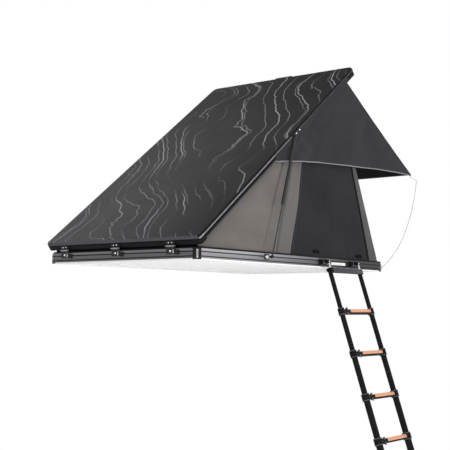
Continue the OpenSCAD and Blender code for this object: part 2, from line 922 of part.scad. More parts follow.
// Shape of the awning's side: a fold that grows towards the hem
function side_fold(u, v) = [0, fold_d * sin(360 * hem_folds * u) * (1 - v), 0];

// Rise of the hem above the straight line between its ends, by its share of that line
function hem_bow(t, v) = [0, 0, hem_rise * (1 - pow(2 * t - 1, 4)) * (1 - v)];

// A part of the awning's side from its hem up, between two shares of the hem; sag lowers its top edge
module side_sheet(low0, low1, high0, high1, share0, share1, sag) {
    across = steps(10);
    up = steps(5);
    plane = [0, -awning_y, 0];
    half = [0, cloth_t / 2, 0];
    function point(u, v) = mix(mix(low0, low1, u), mix(high0, high1, u), v) + plane + side_fold(u, v)
        + hem_bow(mix(share0, share1, u), v) - awning_up * sag * sin(180 * u) * v;
    sheet_between([for (u = across) [for (v = up) point(u, v) - half]],
        [for (u = across) [for (v = up) point(u, v) + half]]);
}

module gusset_back() {
    edge = [sin(open_angle), 0, -cos(open_angle)] * side_end;
    side_sheet(side_start + edge, side_split, side_start, side_peak - awning_up * side_drop,
        0, split_share, 0);
}

module gusset_front() {
    seam = awning_dir * 2 * fit;
    side_sheet(side_split + seam, side_tip - awning_up * (side_drop + side_end),
        side_peak - awning_up * side_drop + seam, side_tip - awning_up * side_drop,
        split_share, 1, edge_sag);
}

module gusset_back_near() {
    color(awning_grey) gusset_back();
}

module gusset_back_far() {
    color(awning_grey) far_side() gusset_back();
}

module gusset_front_near() {
    color(awning_grey) gusset_front();
}

module gusset_front_far() {
    color(awning_grey) far_side() gusset_front();
}

// Awning poles

// Place of a pole's foot out from the base's end and in from its side
pole_out = 38;
pole_in = 15;
pole_stop = 16;
pole_foot = [base_x1 + pole_out, near_y + pole_in, base_h / 2];
// The long bow runs from the stop collar to an elbow beyond the awning's front corner
bow_x = side_tip[0] + pole_past - pole_foot[0] - pole_stop * cos(pole_start);
bow_z = (side_tip[2] - pole_drop - pole_foot[2]) / cos(pole_tilt) - pole_stop * sin(pole_start);
pole_turn = 2 * (atan2(bow_z, bow_x) - pole_start);
pole_bow_r = norm([bow_x, bow_z]) / (2 * sin(pole_turn / 2));

// The pole's own plane, with its foot at the origin; side is 1 for the near pole
module at_pole(side) {
    translate([pole_foot[0], side * pole_foot[1], pole_foot[2]])
        rotate([side * pole_tilt, 0, 0])
            children();
}

// A bent rod from a start point and slope through a turn, in the XZ plane, trimmed at both ends
module bow(x, z, slope, r, turn, trim) {
    translate([x - r * sin(slope), 0, z + r * cos(slope)])
        rotate([90, 0, 0])
            rotate([0, 0, slope - 90 + trim])
                rotate_extrude(angle = turn - 2 * trim, $fn = 180)
                    translate([r, 0]) circle(pole_r, $fn = 24);
}

// A straight rod between two distances along a slope from a point, in the XZ plane
module straight(x, z, slope, from, to, r) {
    translate([x, 0, z])
        rotate([0, 90 - slope, 0])
            translate([0, 0, from]) cylinder(r = r, h = to - from, $fn = 24);
}

// A pole: foot, stop collar, long bow, elbow and tip, with a short ferrule at each change
module awning_pole(side) {
    ferrule_r = pole_r + 0.8;
    elbow_trim = 5;
    elbow_slope = pole_start + pole_turn;
    tip_slope = elbow_slope + pole_elbow;
    x0 = pole_stop * cos(pole_start);
    z0 = pole_stop * sin(pole_start);
    x1 = x0 + bow_x;
    z1 = z0 + bow_z;
    x2 = x1 + pole_elbow_r * (sin(tip_slope) - sin(elbow_slope));
    z2 = z1 + pole_elbow_r * (cos(elbow_slope) - cos(tip_slope));
    at_pole(side) {
        straight(0, 0, pole_start, 4 - socket_len, pole_stop - 2, pole_r);
        straight(0, 0, pole_start, 6, pole_stop + 8, pole_r + 1.5);
        bow(x0, z0, pole_start, pole_bow_r, pole_turn, 0.1);
        straight(x1, z1, elbow_slope, -8, 3, ferrule_r);
        bow(x1, z1, elbow_slope, pole_elbow_r, pole_elbow, elbow_trim);
        straight(x2, z2, tip_slope, -3, 8, ferrule_r);
        straight(x2, z2, tip_slope, 1, pole_tip, pole_r);
    }
}

module awning_pole_near() {
    color("#e6e6e4") awning_pole(1);
}

module awning_pole_far() {
    color("#e6e6e4") awning_pole(-1);
}

module pole_socket(side) {
    plate_t = 4;
    plate_w = 26;
    plate_h = 44;
    sleeve_r = pole_r + 4;
    reach_w = 2 * plate_w;
    difference() {
        union() {
            translate([base_x1, side * pole_foot[1] - plate_w / 2, (base_h - plate_h) / 2])
                cube([plate_t, plate_w, plate_h]);
            intersection() {
                at_pole(side) straight(0, 0, pole_start, -socket_len - 20, 0, sleeve_r);
                translate([base_x1, side * pole_foot[1] - reach_w / 2, 0])
                    cube([socket_len + pole_out, reach_w, base_h]);
            }
        }
        at_pole(side) straight(0, 0, pole_start, 2 - socket_len, 5, pole_r + run_fit);
    }
}

module pole_sockets() {
    color(black) {
        pole_socket(1);
        pole_socket(-1);
    }
}

// Ladder

ladder_out = 27;
ladder_z = 45;
strap_x = 18;
strap_width = 20;
pivot_r = 4;
stile_x = stile_gap / 2;
section_count = 6;
collar_h = 44;
collar_up = 22;
collar_t = 6;

function tube_od(k) = stile_od + 2 * k * (stile_wall + slide_gap);
function rung_at(k) = first_rung + rung_pitch * (k - 1);

// Ladder frame: the pivot at the origin, the ladder hanging along -Z
module at_ladder() {
    translate([ladder_x, near_y - ladder_out, ladder_z])
        rotate([-ladder_lean, 0, 0])
            children();
}

// An upright cylinder between two distances down the ladder
module down(r, from, to) {
    translate([0, 0, -to]) cylinder(r = r, h = to - from);
}

module at_stiles() {
    for (sx = [-1, 1])
        translate([sx * stile_x, 0, 0]) children();
}

// Top of the ladder: two tubes, their heads, the straps on the pivot and a cross plate
module ladder_top() {
    head_top = 52;
    head_h = 22;
    head_y = tube_od(0) / 2;
    plate_top = 54;
    plate_h = 38;
    plate_t = 8;
    plate_end = 12;
    head_left = tube_od(0) / 2 + 2;
    head_right = strap_x + strap_width / 2;
    color("#232325") at_ladder() {
        at_stiles() {
            difference() {
                union() {
                    down(tube_od(0) / 2, head_top, first_rung + tube_overlap);
                    translate([-head_left, -head_y, -head_top - head_h])
                        cube([head_left + head_right, 2 * head_y, head_h]);
                }
                down(tube_od(0) / 2 - stile_wall, head_top + head_h, first_rung + tube_overlap + over);
            }
            difference() {
                union() {
                    translate([strap_x - strap_width / 2, -2, -head_top - over])
                        cube([strap_width, 4, head_top]);
                    translate([strap_x - strap_width / 2, 0, 0]) along_x(pivot_r + 5, 0, strap_width);
                }
                along_x(pivot_r + run_fit, 0, 2 * strap_x);
            }
        }
        translate([-stile_x - head_left, -head_y - plate_t, -plate_top - plate_h])
            cube([stile_gap + head_left + plate_end, plate_t + over, plate_h]);
    }
}

// Rounded section of a rung, flat on top
module rung_profile() {
    r = 7;
    half = rung_depth / 2;
    translate([-half, r]) square([rung_depth, rung_h - r - 3]);
    translate([-half + r, 0]) square([rung_depth - 2 * r, rung_h]);
    translate([-half + 3, r]) square([rung_depth - 6, rung_h - r]);
    for (sx = [-1, 1]) {
        translate([sx * (half - r), r]) circle(r);
        translate([sx * (half - 3), rung_h - 3]) circle(3);
    }
}

// One telescoping section: two tubes with collars, a rung, and a release housing with its ears
module ladder_section(k) {
    d = rung_at(k);
    od = tube_od(k);
    bore = tube_od(k - 1) / 2 + slide_gap;
    tube_end = k < section_count ? d + rung_pitch + tube_overlap : d + ladder_tail;
    rung_low = 20;
    housing_r = od / 2 + collar_t;
    ear = 9;
    color("#232325") at_ladder() {
        difference() {
            union() {
                at_stiles() {
                    down(od / 2, d - collar_up, tube_end);
                    down(housing_r, d - collar_up, d - collar_up + collar_h);
                }
                translate([-stile_x, 0, -d - rung_low])
                    rotate([90, 0, 90]) linear_extrude(stile_gap) rung_profile();
                translate([-stile_x, -rung_depth / 2 - 2, -d - rung_low + 2])
                    cube([housing_r + housing_len, rung_depth + 4, rung_h - 4]);
                for (side = [-1, 1])
                    translate([-stile_x + housing_r + 8, -rung_depth / 2 - 6,
                            -d - rung_low + rung_h / 2 + side * rung_h / 2 - ear / 2])
                        cube([20, 8, ear]);
            }
            at_stiles() down(bore, d - collar_up - over, tube_end + (k < section_count ? over : -12));
        }
        if (k == section_count)
            at_stiles() down(od / 2 + 4, tube_end, tube_end + 22);
    }
}

module ladder_section_1() {
    ladder_section(1);
}

module ladder_section_2() {
    ladder_section(2);
}

module ladder_section_3() {
    ladder_section(3);
}

module ladder_section_4() {
    ladder_section(4);
}

module ladder_section_5() {
    ladder_section(5);
}

module ladder_section_6() {
    ladder_section(6);
}

// Bracket on the base's side for one stile: a plate, two ears with a pivot, and the knob's stud
bracket_t = 5;
knob_z = 38;
stud_len = 14;

module ladder_bracket() {
    ear_t = 4;
    ear_y = ladder_out + 10;
    ear_h = 22;
    plate_x0 = -knob_off - knob_r;
    plate_x1 = strap_x + strap_width / 2 + fit + ear_t;
    plate_z0 = groove_lo + 4;
    translate([plate_x0, -bracket_t, plate_z0])
        cube([plate_x1 - plate_x0, bracket_t, base_h - plate_z0 - 4]);
    for (x = [strap_x - strap_width / 2 - fit - ear_t, strap_x + strap_width / 2 + fit])
        translate([x, -ear_y, ladder_z - ear_h / 2]) cube([ear_t, ear_y - bracket_t + over, ear_h]);
    translate([0, -ladder_out, ladder_z])
        along_x(pivot_r, strap_x - strap_width / 2 - fit - ear_t, plate_x1);
    translate([-knob_off, 0, knob_z]) rod_y(pivot_r, -bracket_t - stud_len, -bracket_t + over);
}

module ladder_brackets() {
    color(black)
        translate([ladder_x, near_y, 0]) at_stiles() ladder_bracket();
}

// Star knob on its stud
module ladder_knob(side) {
    lobes = 6;
    thick = 14;
    lobe_r = knob_r * 0.34;
    color(black)
        translate([ladder_x + side * stile_x - knob_off, near_y - bracket_t - fit, knob_z])
            rotate([90, 0, 0])
                difference() {
                    union() {
                        linear_extrude(thick) {
                            circle(knob_r - lobe_r);
                            for (i = [0 : lobes - 1])
                                rotate(i * 360 / lobes)
                                    translate([knob_r - lobe_r, 0]) circle(lobe_r, $fn = 24);
                        }
                        cylinder(r = knob_r * 0.5, h = thick + 6);
                    }
                    translate([0, 0, -over]) cylinder(r = pivot_r + run_fit, h = stud_len + over + fit);
                }
}

module ladder_knob_left() {
    ladder_knob(-1);
}

module ladder_knob_right() {
    ladder_knob(1);
}

// Latches at the opening end

// Gap from the lid's end face to the middle of the strap
latch_gap = 9;
latch_out = lid_overhang + latch_gap;
// Depth of the strap's pin below the base's top, and height of the hook above the lid's rim
latch_drop = 9;
hook_rise = 8;
latch_z = base_h - latch_drop;
latch_pin_r = 3.5;
strap_t = 8;
hook_z = lid_z0 + hook_rise;

// Anchor on the base's end: a plate and two ears with the strap's pin
module latch_anchor() {
    plate_t = 4;
    ear_t = 5;
    ear_h = 22;
    wide = strap_w + 2 * ear_t + 2 * fit;
    plate_h = base_h - 8;
    translate([base_x1, -wide / 2, (base_h - plate_h) / 2]) cube([plate_t, wide, plate_h]);
    for (sy = [-1, 1])
        translate([base_x1 + plate_t - over, sy * (wide - ear_t) / 2 - ear_t / 2, latch_z - ear_h / 2])
            cube([latch_out + 9 - plate_t + over, ear_t, ear_h]);
    translate([base_x1 + latch_out, 0, latch_z]) rod_y(latch_pin_r, -wide / 2, wide / 2);
}

module latch_anchors() {
    color(steel)
        for (sy = [-1, 1])
            translate([0, sy * latch_y, 0]) latch_anchor();
}

// Rubber strap hanging from its pin, with a slot for the hook and a T-shaped grip
module latch_strap() {
    eye = latch_pin_r + 4.5;
    slot_top = hook_z - latch_z - 8;
    slot_h = 22;
    grip_w = strap_w + 36;
    grip_h = 12;
    translate([base_x1 + latch_out, 0, latch_z])
        difference() {
            union() {
                rod_y(eye, -strap_w / 2, strap_w / 2);
                translate([-strap_t / 2, -strap_w / 2, -strap_len]) cube([strap_t, strap_w, strap_len]);
                translate([0, 0, -strap_len + grip_h / 2]) rod_y(grip_h / 2, -grip_w / 2, grip_w / 2);
            }
            rod_y(latch_pin_r + run_fit, -strap_w, strap_w);
            translate([-strap_t, -hook_w / 2 - 3, -slot_top - slot_h])
                cube([2 * strap_t, hook_w + 6, slot_h]);
        }
}

module latch_strap_near() {
    color(black) translate([0, -latch_y, 0]) latch_strap();
}

module latch_strap_far() {
    color(black) translate([0, latch_y, 0]) latch_strap();
}

// Hook on the lid's end that the strap's slot drops over
module latch_keepers() {
    plate_t = 3;
    plate_w = 40;
    plate_h = 24;
    reach = latch_gap + strap_t / 2 + 8;
    color(steel) on_lid()
        for (sy = [-1, 1])
            translate([lid_x1, sy * latch_y, hook_z]) {
                translate([0, -plate_w / 2, 1 - hook_rise]) cube([plate_t, plate_w, plate_h]);
                translate([0, -hook_w / 2, -2]) cube([reach, hook_w, 4]);
                translate([reach - 3, -hook_w / 2, -2]) cube([3, hook_w, 12]);
            }
}

base_rail_near();
base_rail_far();
base_rail_hinge_end();
base_rail_opening_end();
base_corner_connectors();
floor_panel();
roof_bar_rails();
base_seal();
mattress();
hinge_base_leaves();
hinge_pins();
hinge_flap();
strut_base_brackets();
pole_sockets();
latch_anchors();
ladder_brackets();
wall_near();
wall_far();
wall_rear();
door_panel_near();
door_panel_far();
window_panel_rear();
lid_skin();
lid_rail_near();
lid_rail_far();
lid_rail_hinge_end();
lid_rail_opening_end();
lid_corner_caps();
lid_liner();
lid_keder_rail();
hinge_lid_leaves();
strut_lid_brackets();
latch_keepers();
lid_handle();
gusset_back_near();
gusset_back_far();
awning_sheet();
gusset_front_near();
gusset_front_far();
strut_rod_near();
strut_rod_far();
strut_cylinder_near();
strut_cylinder_far();
awning_pole_near();
awning_pole_far();
latch_strap_near();
latch_strap_far();
ladder_knob_left();
ladder_knob_right();
ladder_top();
ladder_section_1();
ladder_section_2();
ladder_section_3();
ladder_section_4();
ladder_section_5();
ladder_section_6();
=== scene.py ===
import math

import bmesh
import bpy
from mathutils import Matrix, Vector, noise


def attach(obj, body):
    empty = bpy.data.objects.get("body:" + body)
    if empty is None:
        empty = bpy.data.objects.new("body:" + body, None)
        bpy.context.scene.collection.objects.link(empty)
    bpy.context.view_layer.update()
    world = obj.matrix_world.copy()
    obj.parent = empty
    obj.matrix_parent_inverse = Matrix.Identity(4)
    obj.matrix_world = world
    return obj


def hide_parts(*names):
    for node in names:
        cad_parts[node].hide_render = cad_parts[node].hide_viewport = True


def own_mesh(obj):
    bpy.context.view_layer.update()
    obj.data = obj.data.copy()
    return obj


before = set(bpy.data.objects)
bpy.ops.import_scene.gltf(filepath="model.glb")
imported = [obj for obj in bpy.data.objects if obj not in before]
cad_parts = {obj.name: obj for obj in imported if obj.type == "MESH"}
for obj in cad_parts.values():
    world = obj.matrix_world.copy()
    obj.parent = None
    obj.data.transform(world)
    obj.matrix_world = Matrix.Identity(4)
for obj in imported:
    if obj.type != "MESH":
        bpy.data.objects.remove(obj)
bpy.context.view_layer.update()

# Sizes in metres, in the same frame as the solids
FIT = 0.0003
CLOTH_T = 0.002
BASE_LEN = 2.284
BASE_WID = 1.270
BASE_H = 0.068
BASE_X0 = -BASE_LEN / 2
BASE_X1 = BASE_LEN / 2
NEAR_Y = -BASE_WID / 2
RAIL_W = 0.038
RAIL_GROOVES = (0.049, 0.020)
SEAL_SIDE_IN = 0.004
SEAL_HINGE_IN = 0.014
SEAL_W = 0.012
HINGE_OUT = 0.007
HINGE_RISE = 0.017
HINGE_X = BASE_X0 - HINGE_OUT
HINGE_Z = BASE_H + HINGE_RISE
HINGE_SHIFT = 0.038
HINGE_PITCH = 0.464
HINGE_YS = [HINGE_SHIFT + i * HINGE_PITCH for i in (-1, 0, 1)]
LEAF_T = 0.004
BRACKET_T = 0.005
THIN_BRACKET_T = 0.003
OPEN_ANGLE = math.radians(37.2)
LID_SETBACK = 0.006
LID_X0 = BASE_X0 + LID_SETBACK
LID_LEN = 2.316
LID_X1 = LID_X0 + LID_LEN
LID_Y = 0.667
LID_GAP = 0.012
LID_Z0 = BASE_H + LID_GAP
LID_H = 0.058
LID_Z1 = LID_Z0 + LID_H
LID_RAIL_W = 0.050
SKIN_T = 0.003
LINER_T = 0.022
LINER_Z = LID_Z1 - SKIN_T - LINER_T
KEDER_IN = 0.158
KEDER_X = LID_X1 - KEDER_IN
FLOOR_Z = -2.16
SIDES = ((1, "near"), (-1, "far"))
SECTION_COUNT = 6


def mix(a, b, t):
    return a + (b - a) * t


def steps(count, low=0.0, high=1.0):
    return [mix(low, high, i / count) for i in range(count + 1)]


def lid_point(x, y, z):
    """A point of the closed lid, carried to the open lid."""
    dx = x - HINGE_X
    dz = z - HINGE_Z
    c = math.cos(OPEN_ANGLE)
    s = math.sin(OPEN_ANGLE)
    return Vector((HINGE_X + dx * c - dz * s, y, HINGE_Z + dx * s + dz * c))


LID_ALONG = Vector((math.cos(OPEN_ANGLE), 0, math.sin(OPEN_ANGLE)))


# Materials

MATHS = "ShaderNodeMath"
RANGE = "ShaderNodeMapRange"
CLOUD = "ShaderNodeTexNoise"
BLEND = "ShaderNodeMix"
PARTS = "ShaderNodeSeparateXYZ"

# Patterns per metre, from their sizes in mm: drifts of shade, streaks before they are drawn out, the print's
# slow sway and small quiver, and a grit that is coarser than real so that it shows
CLOTH_DRIFT = 1000 / 312.5
PRINT_DRIFT = 1000 / 200
MOULDED_DRIFT = 1000 / 71.42857
BRUSHED_STREAKS = 1000 / 16.6666667
RAIL_STREAKS = 1000 / 11.1111111
LID_STREAKS = 1000 / 25
PRINT_SWAY = 1000 / 740.740741
PRINT_QUIVER = 1000 / 142.857143
PRINT_GRIT = 1000 / 1.42857143


def srgb(code):
    """An sRGB hex colour as linear RGBA."""
    parts = [int(code[i:i + 2], 16) / 255 for i in (1, 3, 5)]
    linear = [v / 12.92 if v <= 0.04045 else ((v + 0.055) / 1.055) ** 2.4 for v in parts]
    return (*linear, 1.0)


def add(tree, kind, inputs=(), **settings):
    """Adds a node with its settings. Its inputs go by order, or by number or name: a node's first output or a
    socket is linked, and any other value is set."""
    made = tree.nodes.new(kind)
    for name, value in settings.items():
        setattr(made, name, value)
    pairs = inputs.items() if isinstance(inputs, dict) else enumerate(inputs)
    for name, value in pairs:
        if isinstance(value, bpy.types.Node):
            value = value.outputs[0]
        if isinstance(value, bpy.types.NodeSocket):
            tree.links.new(value, made.inputs[name])
        else:
            made.inputs[name].default_value = value
    return made


def start_material(name):
    """A material with an empty node tree."""
    material = bpy.data.materials.new(name)
    material.use_nodes = True
    material.node_tree.nodes.clear()
    return material, material.node_tree


def end_material(material, sockets):
    """Gives a material its shader, with these inputs, and its output."""
    shader = add(material.node_tree, "ShaderNodeBsdfPrincipled", sockets)
    add(material.node_tree, "ShaderNodeOutputMaterial", {"Surface": shader})
    return material


def blotch(tree, vector, dark, light, scale):
    """A colour that drifts between two shades with soft noise."""
    cloud = add(tree, CLOUD, {"Vector": vector, "Scale": scale, "Detail": 4.0})
    share = add(tree, RANGE, (cloud, 0.35, 0.65))
    return add(tree, BLEND, {"Factor": share, 6: srgb(dark), 7: srgb(light)}, data_type="RGBA").outputs[2]


def streaks(tree, vector, stretch, scale, detail):
    """Fine noise drawn out along an extrusion."""
    drawn = add(tree, "ShaderNodeMapping", {"Vector": vector, "Scale": stretch})
    return add(tree, CLOUD, {"Vector": drawn, "Scale": scale, "Detail": detail})


def cloth_material(name, dark, light, thread_mm, roughness=0.9, sheen=0.06, bump=0.25, gloss=0.1, pleat=0.0):
    """Woven cloth: crossing threads in the piece's own UV, which is in metres, and a slow drift of shade.
    The threads are drawn coarser than real so that they show. A pleat adds painted shade beside the cloth's
    first edge, where the pleat tucks under."""
    material, tree = start_material(name)
    place = add(tree, "ShaderNodeUVMap", uv_map="cloth")
    wave = {"Vector": place, "Scale": 1000 / thread_mm / 2, "Distortion": 0.6, "Detail Scale": 0.4}
    threads = [add(tree, "ShaderNodeTexWave", wave, bands_direction=way).outputs[1] for way in "XY"]
    cross = add(tree, MATHS, threads, operation="ADD")
    colour = blotch(tree, place, dark, light, CLOTH_DRIFT)
    shade = add(tree, RANGE, (cross, 0.0, 2.0, 0.86, 1.06))
    # Painted shade beside the pleat's first edge
    if pleat:
        across = add(tree, PARTS, (place,))
        beside = add(tree, RANGE, (across, 0.0, pleat, 0.62, 1.0))
        shade = add(tree, MATHS, (shade, beside), operation="MULTIPLY")
    tinted = add(tree, BLEND, {"Factor": 1.0, 6: colour, 7: shade}, data_type="RGBA", blend_type="MULTIPLY")
    relief = add(tree, "ShaderNodeBump", {"Strength": bump, "Distance": 0.0006, "Height": cross})
    return end_material(material, {"Base Color": tinted.outputs[2], "Roughness": roughness, "Normal": relief,
                                   "Sheen Weight": sheen, "Sheen Roughness": 0.5,
                                   "Specular IOR Level": gloss})


def brushed_material(name, dark, light, stretch, roughness, metallic=1.0):
    """Anodised or brushed metal: fine streaks drawn out along the extrusion, which soften its reflections."""
    material, tree = start_material(name)
    place = add(tree, "ShaderNodeTexCoord").outputs["Object"]
    streak = streaks(tree, place, stretch, BRUSHED_STREAKS, 5.0)
    colour = add(tree, BLEND, {"Factor": streak, 6: srgb(dark), 7: srgb(light)}, data_type="RGBA")
    gloss = add(tree, RANGE, {0: streak, 3: roughness - 0.06, 4: roughness + 0.08})
    relief = add(tree, "ShaderNodeBump", {"Strength": 0.12, "Distance": 0.0003, "Height": streak})
    return end_material(material, {"Base Color": colour.outputs[2], "Metallic": metallic, "Roughness": gloss,
                                   "Normal": relief})


def moulded_material(name, dark, light, roughness, grit_mm=1.2, bump=0.15, specular=0.4):
    """Moulded plastic, rubber or powder coat: an even colour over a fine grit."""
    material, tree = start_material(name)
    place = add(tree, "ShaderNodeTexCoord").outputs["Object"]
    grit = add(tree, CLOUD, {"Vector": place, "Scale": 1000 / grit_mm, "Detail": 2.0})
    colour = blotch(tree, place, dark, light, MOULDED_DRIFT)
    relief = add(tree, "ShaderNodeBump", {"Strength": bump, "Distance": 0.0004, "Height": grit})
    return end_material(material, {"Base Color": colour, "Roughness": roughness, "Normal": relief,
                                   "Specular IOR Level": specular})


def lid_flat(tree):
    """Object coordinates turned back to the closed lid, in metres."""
    place = add(tree, "ShaderNodeTexCoord")
    hinge = Vector((HINGE_X, 0, HINGE_Z))
    back = hinge - Matrix.Rotation(OPEN_ANGLE, 3, "Y") @ hinge
    return add(tree, "ShaderNodeMapping", {"Vector": place.outputs["Object"], "Location": back,
                                           "Rotation": (0, OPEN_ANGLE, 0)})


# Scale, detail and size of each of the print's waves
PRINT_WAVES = ((PRINT_SWAY, 1.0, 0.95), (PRINT_QUIVER, 3.0, 0.10))
PRINT_TURN = -0.5
PRINT_STEP = 0.004
PRINT_FLATTEST = 0.25
# Where the painted sheen has left the print's ground dark again along the lid, and where it is full across it
PRINT_SHEEN_END_X = 0.8
PRINT_SHEEN_FULL_Y = 0.75 * LID_Y


def lid_print_material(name):
    """Satin charcoal print on aluminium sheet with flowing ripple lines, and a painted sheen that makes it
    paler in its far hinge corner.
    """
    material, tree = start_material(name)
    flat = lid_flat(tree)
    turned = add(tree, "ShaderNodeMapping", {"Vector": flat, "Rotation": (0, 0, PRINT_TURN)})

    def height(offset):
        """The ripples' field: an even slope with waves on it."""
        moved = add(tree, "ShaderNodeVectorMath", (turned, offset), operation="ADD")
        waves = []
        for scale, detail, size in PRINT_WAVES:
            cloud = add(tree, CLOUD, {"Vector": moved, "Scale": scale, "Detail": detail})
            waves.append(add(tree, MATHS, (cloud, size), operation="MULTIPLY"))
        slope = add(tree, PARTS, (moved,)).outputs[1]
        both = add(tree, MATHS, waves, operation="ADD")
        return add(tree, MATHS, (slope, both), operation="ADD")

    level = height((0, 0, 0))
    squares = []
    for offset in ((PRINT_STEP, 0, 0), (0, PRINT_STEP, 0)):
        rise = add(tree, MATHS, (height(offset), level), operation="SUBTRACT")
        squares.append(add(tree, MATHS, (rise, rise), operation="MULTIPLY"))
    steep = add(tree, MATHS, squares, operation="ADD")
    for operation, number in (("SQRT", 0.0), ("DIVIDE", PRINT_STEP), ("MAXIMUM", PRINT_FLATTEST)):
        steep = add(tree, MATHS, (steep, number), operation=operation)

    def lines(spacing, inner, outer, seed, strength, patch_mm):
        """Lines of an even width at a set spacing, which come and go along their length in patches."""
        away = level
        for operation, number in (("ADD", seed), ("DIVIDE", spacing), ("FRACT", 0.0), ("SUBTRACT", 0.5),
                                  ("ABSOLUTE", 0.0), ("MULTIPLY", spacing), ("DIVIDE", steep)):
            away = add(tree, MATHS, (away, number), operation=operation)
        line = add(tree, RANGE, (away, inner, outer, 1.0, 0.0))
        cloud = add(tree, CLOUD, {"Vector": flat, "Scale": 1000 / patch_mm, "Detail": 1.0})
        shown = add(tree, RANGE, (cloud, 0.40, 0.62))
        drawn = add(tree, MATHS, (line, shown), operation="MULTIPLY")
        return add(tree, MATHS, (drawn, strength), operation="MULTIPLY")

    main = lines(spacing=0.27, inner=0.0022, outer=0.0062, seed=0.02, strength=0.9, patch_mm=359.71223)
    fine = lines(spacing=0.125, inner=0.0014, outer=0.0050, seed=0.07, strength=0.55, patch_mm=309.597523)
    ink = add(tree, MATHS, (main, fine), operation="MAXIMUM")
    # Painted sheen: the ground goes paler towards the far hinge corner
    pale = blotch(tree, flat, "#535355", "#5a5a5c", PRINT_DRIFT)
    dark = blotch(tree, flat, "#1a1a1c", "#202022", PRINT_DRIFT)
    spot = add(tree, PARTS, (flat,))
    sheen_to_hinge = add(tree, RANGE, (spot.outputs[0], LID_X0, PRINT_SHEEN_END_X, 1.0, 0.0))
    sheen_across = add(tree, RANGE, (spot.outputs[1], -LID_Y, PRINT_SHEEN_FULL_Y, 0.1, 1.0))
    share = add(tree, MATHS, (sheen_to_hinge, sheen_across), operation="MULTIPLY")
    ground = add(tree, BLEND, {"Factor": share, 6: dark, 7: pale}, data_type="RGBA").outputs[2]
    colour = add(tree, BLEND, {"Factor": ink, 6: ground, 7: srgb("#a9a9ac")}, data_type="RGBA")
    grit = add(tree, CLOUD, {"Vector": flat, "Scale": PRINT_GRIT, "Detail": 2.0})
    relief = add(tree, "ShaderNodeBump", {"Strength": 0.1, "Distance": 0.0003, "Height": grit})
    return end_material(material, {"Base Color": colour.outputs[2], "Roughness": 0.6, "Normal": relief,
                                   "Specular IOR Level": 0.03})


BEVEL_EDGE = 0.001
# Where the painted highlight starts to fade along the lid, and where it has faded
HIGHLIGHT_FADE_XS = (0.05, 0.30)


def lid_edge_material(name, bright, highlight_from, highlight_to, plain, highlight_fade=1.0):
    """Dark anodised lid rail with a painted highlight along its bevel: a band of bright metal between two
    depths below the top face. On the long sides the painted highlight fades above the struts."""
    material, tree = start_material(name)
    flat = lid_flat(tree)
    spot = add(tree, PARTS, (flat,))
    depth = add(tree, MATHS, (LID_Z1, spot.outputs[2]), operation="SUBTRACT")
    streak = streaks(tree, flat, (0.4, 9.0, 9.0), LID_STREAKS, 4.0)
    # Painted highlight: a bright metallic band between two depths, broken by streaks and fading along the lid
    edge = add(tree, RANGE, (depth, highlight_from - BEVEL_EDGE, highlight_from + BEVEL_EDGE))
    ended = add(tree, RANGE, (depth, highlight_to - BEVEL_EDGE, highlight_to + BEVEL_EDGE, 1.0, 0.0))
    highlight_streaks = add(tree, RANGE, (streak, 0.2, 0.8, 0.75, 1.0))
    dull = add(tree, RANGE, (spot.outputs[0], *HIGHLIGHT_FADE_XS, 1.0, highlight_fade))
    for share in (ended, highlight_streaks, dull):
        edge = add(tree, MATHS, (edge, share), operation="MULTIPLY")
    colour = add(tree, BLEND, {"Factor": edge, 6: srgb(plain), 7: srgb(bright)}, data_type="RGBA")
    metal = add(tree, MATHS, (edge, 0.7), operation="MULTIPLY")
    gloss = add(tree, RANGE, (streak, 0.0, 1.0, 0.38, 0.52))
    return end_material(material, {"Base Color": colour.outputs[2], "Metallic": metal, "Roughness": gloss,
                                   "Specular IOR Level": 0.08})


# The flange's heights and its painted highlight, the ends of the painted drift of light, and the painted
# shade beside a groove and at the rail's foot
FLANGE_ZS = (0.051, 0.054)
FLANGE_HIGHLIGHT = 1.35
LIGHT_FALLOFF_XS = (-0.7, 0.6)
GROOVE_SHADE = (0.0022, 0.0052, 0.10, 1.0)
FOOT_SHADE = (0.003, 0.009, 0.25, 1.0)


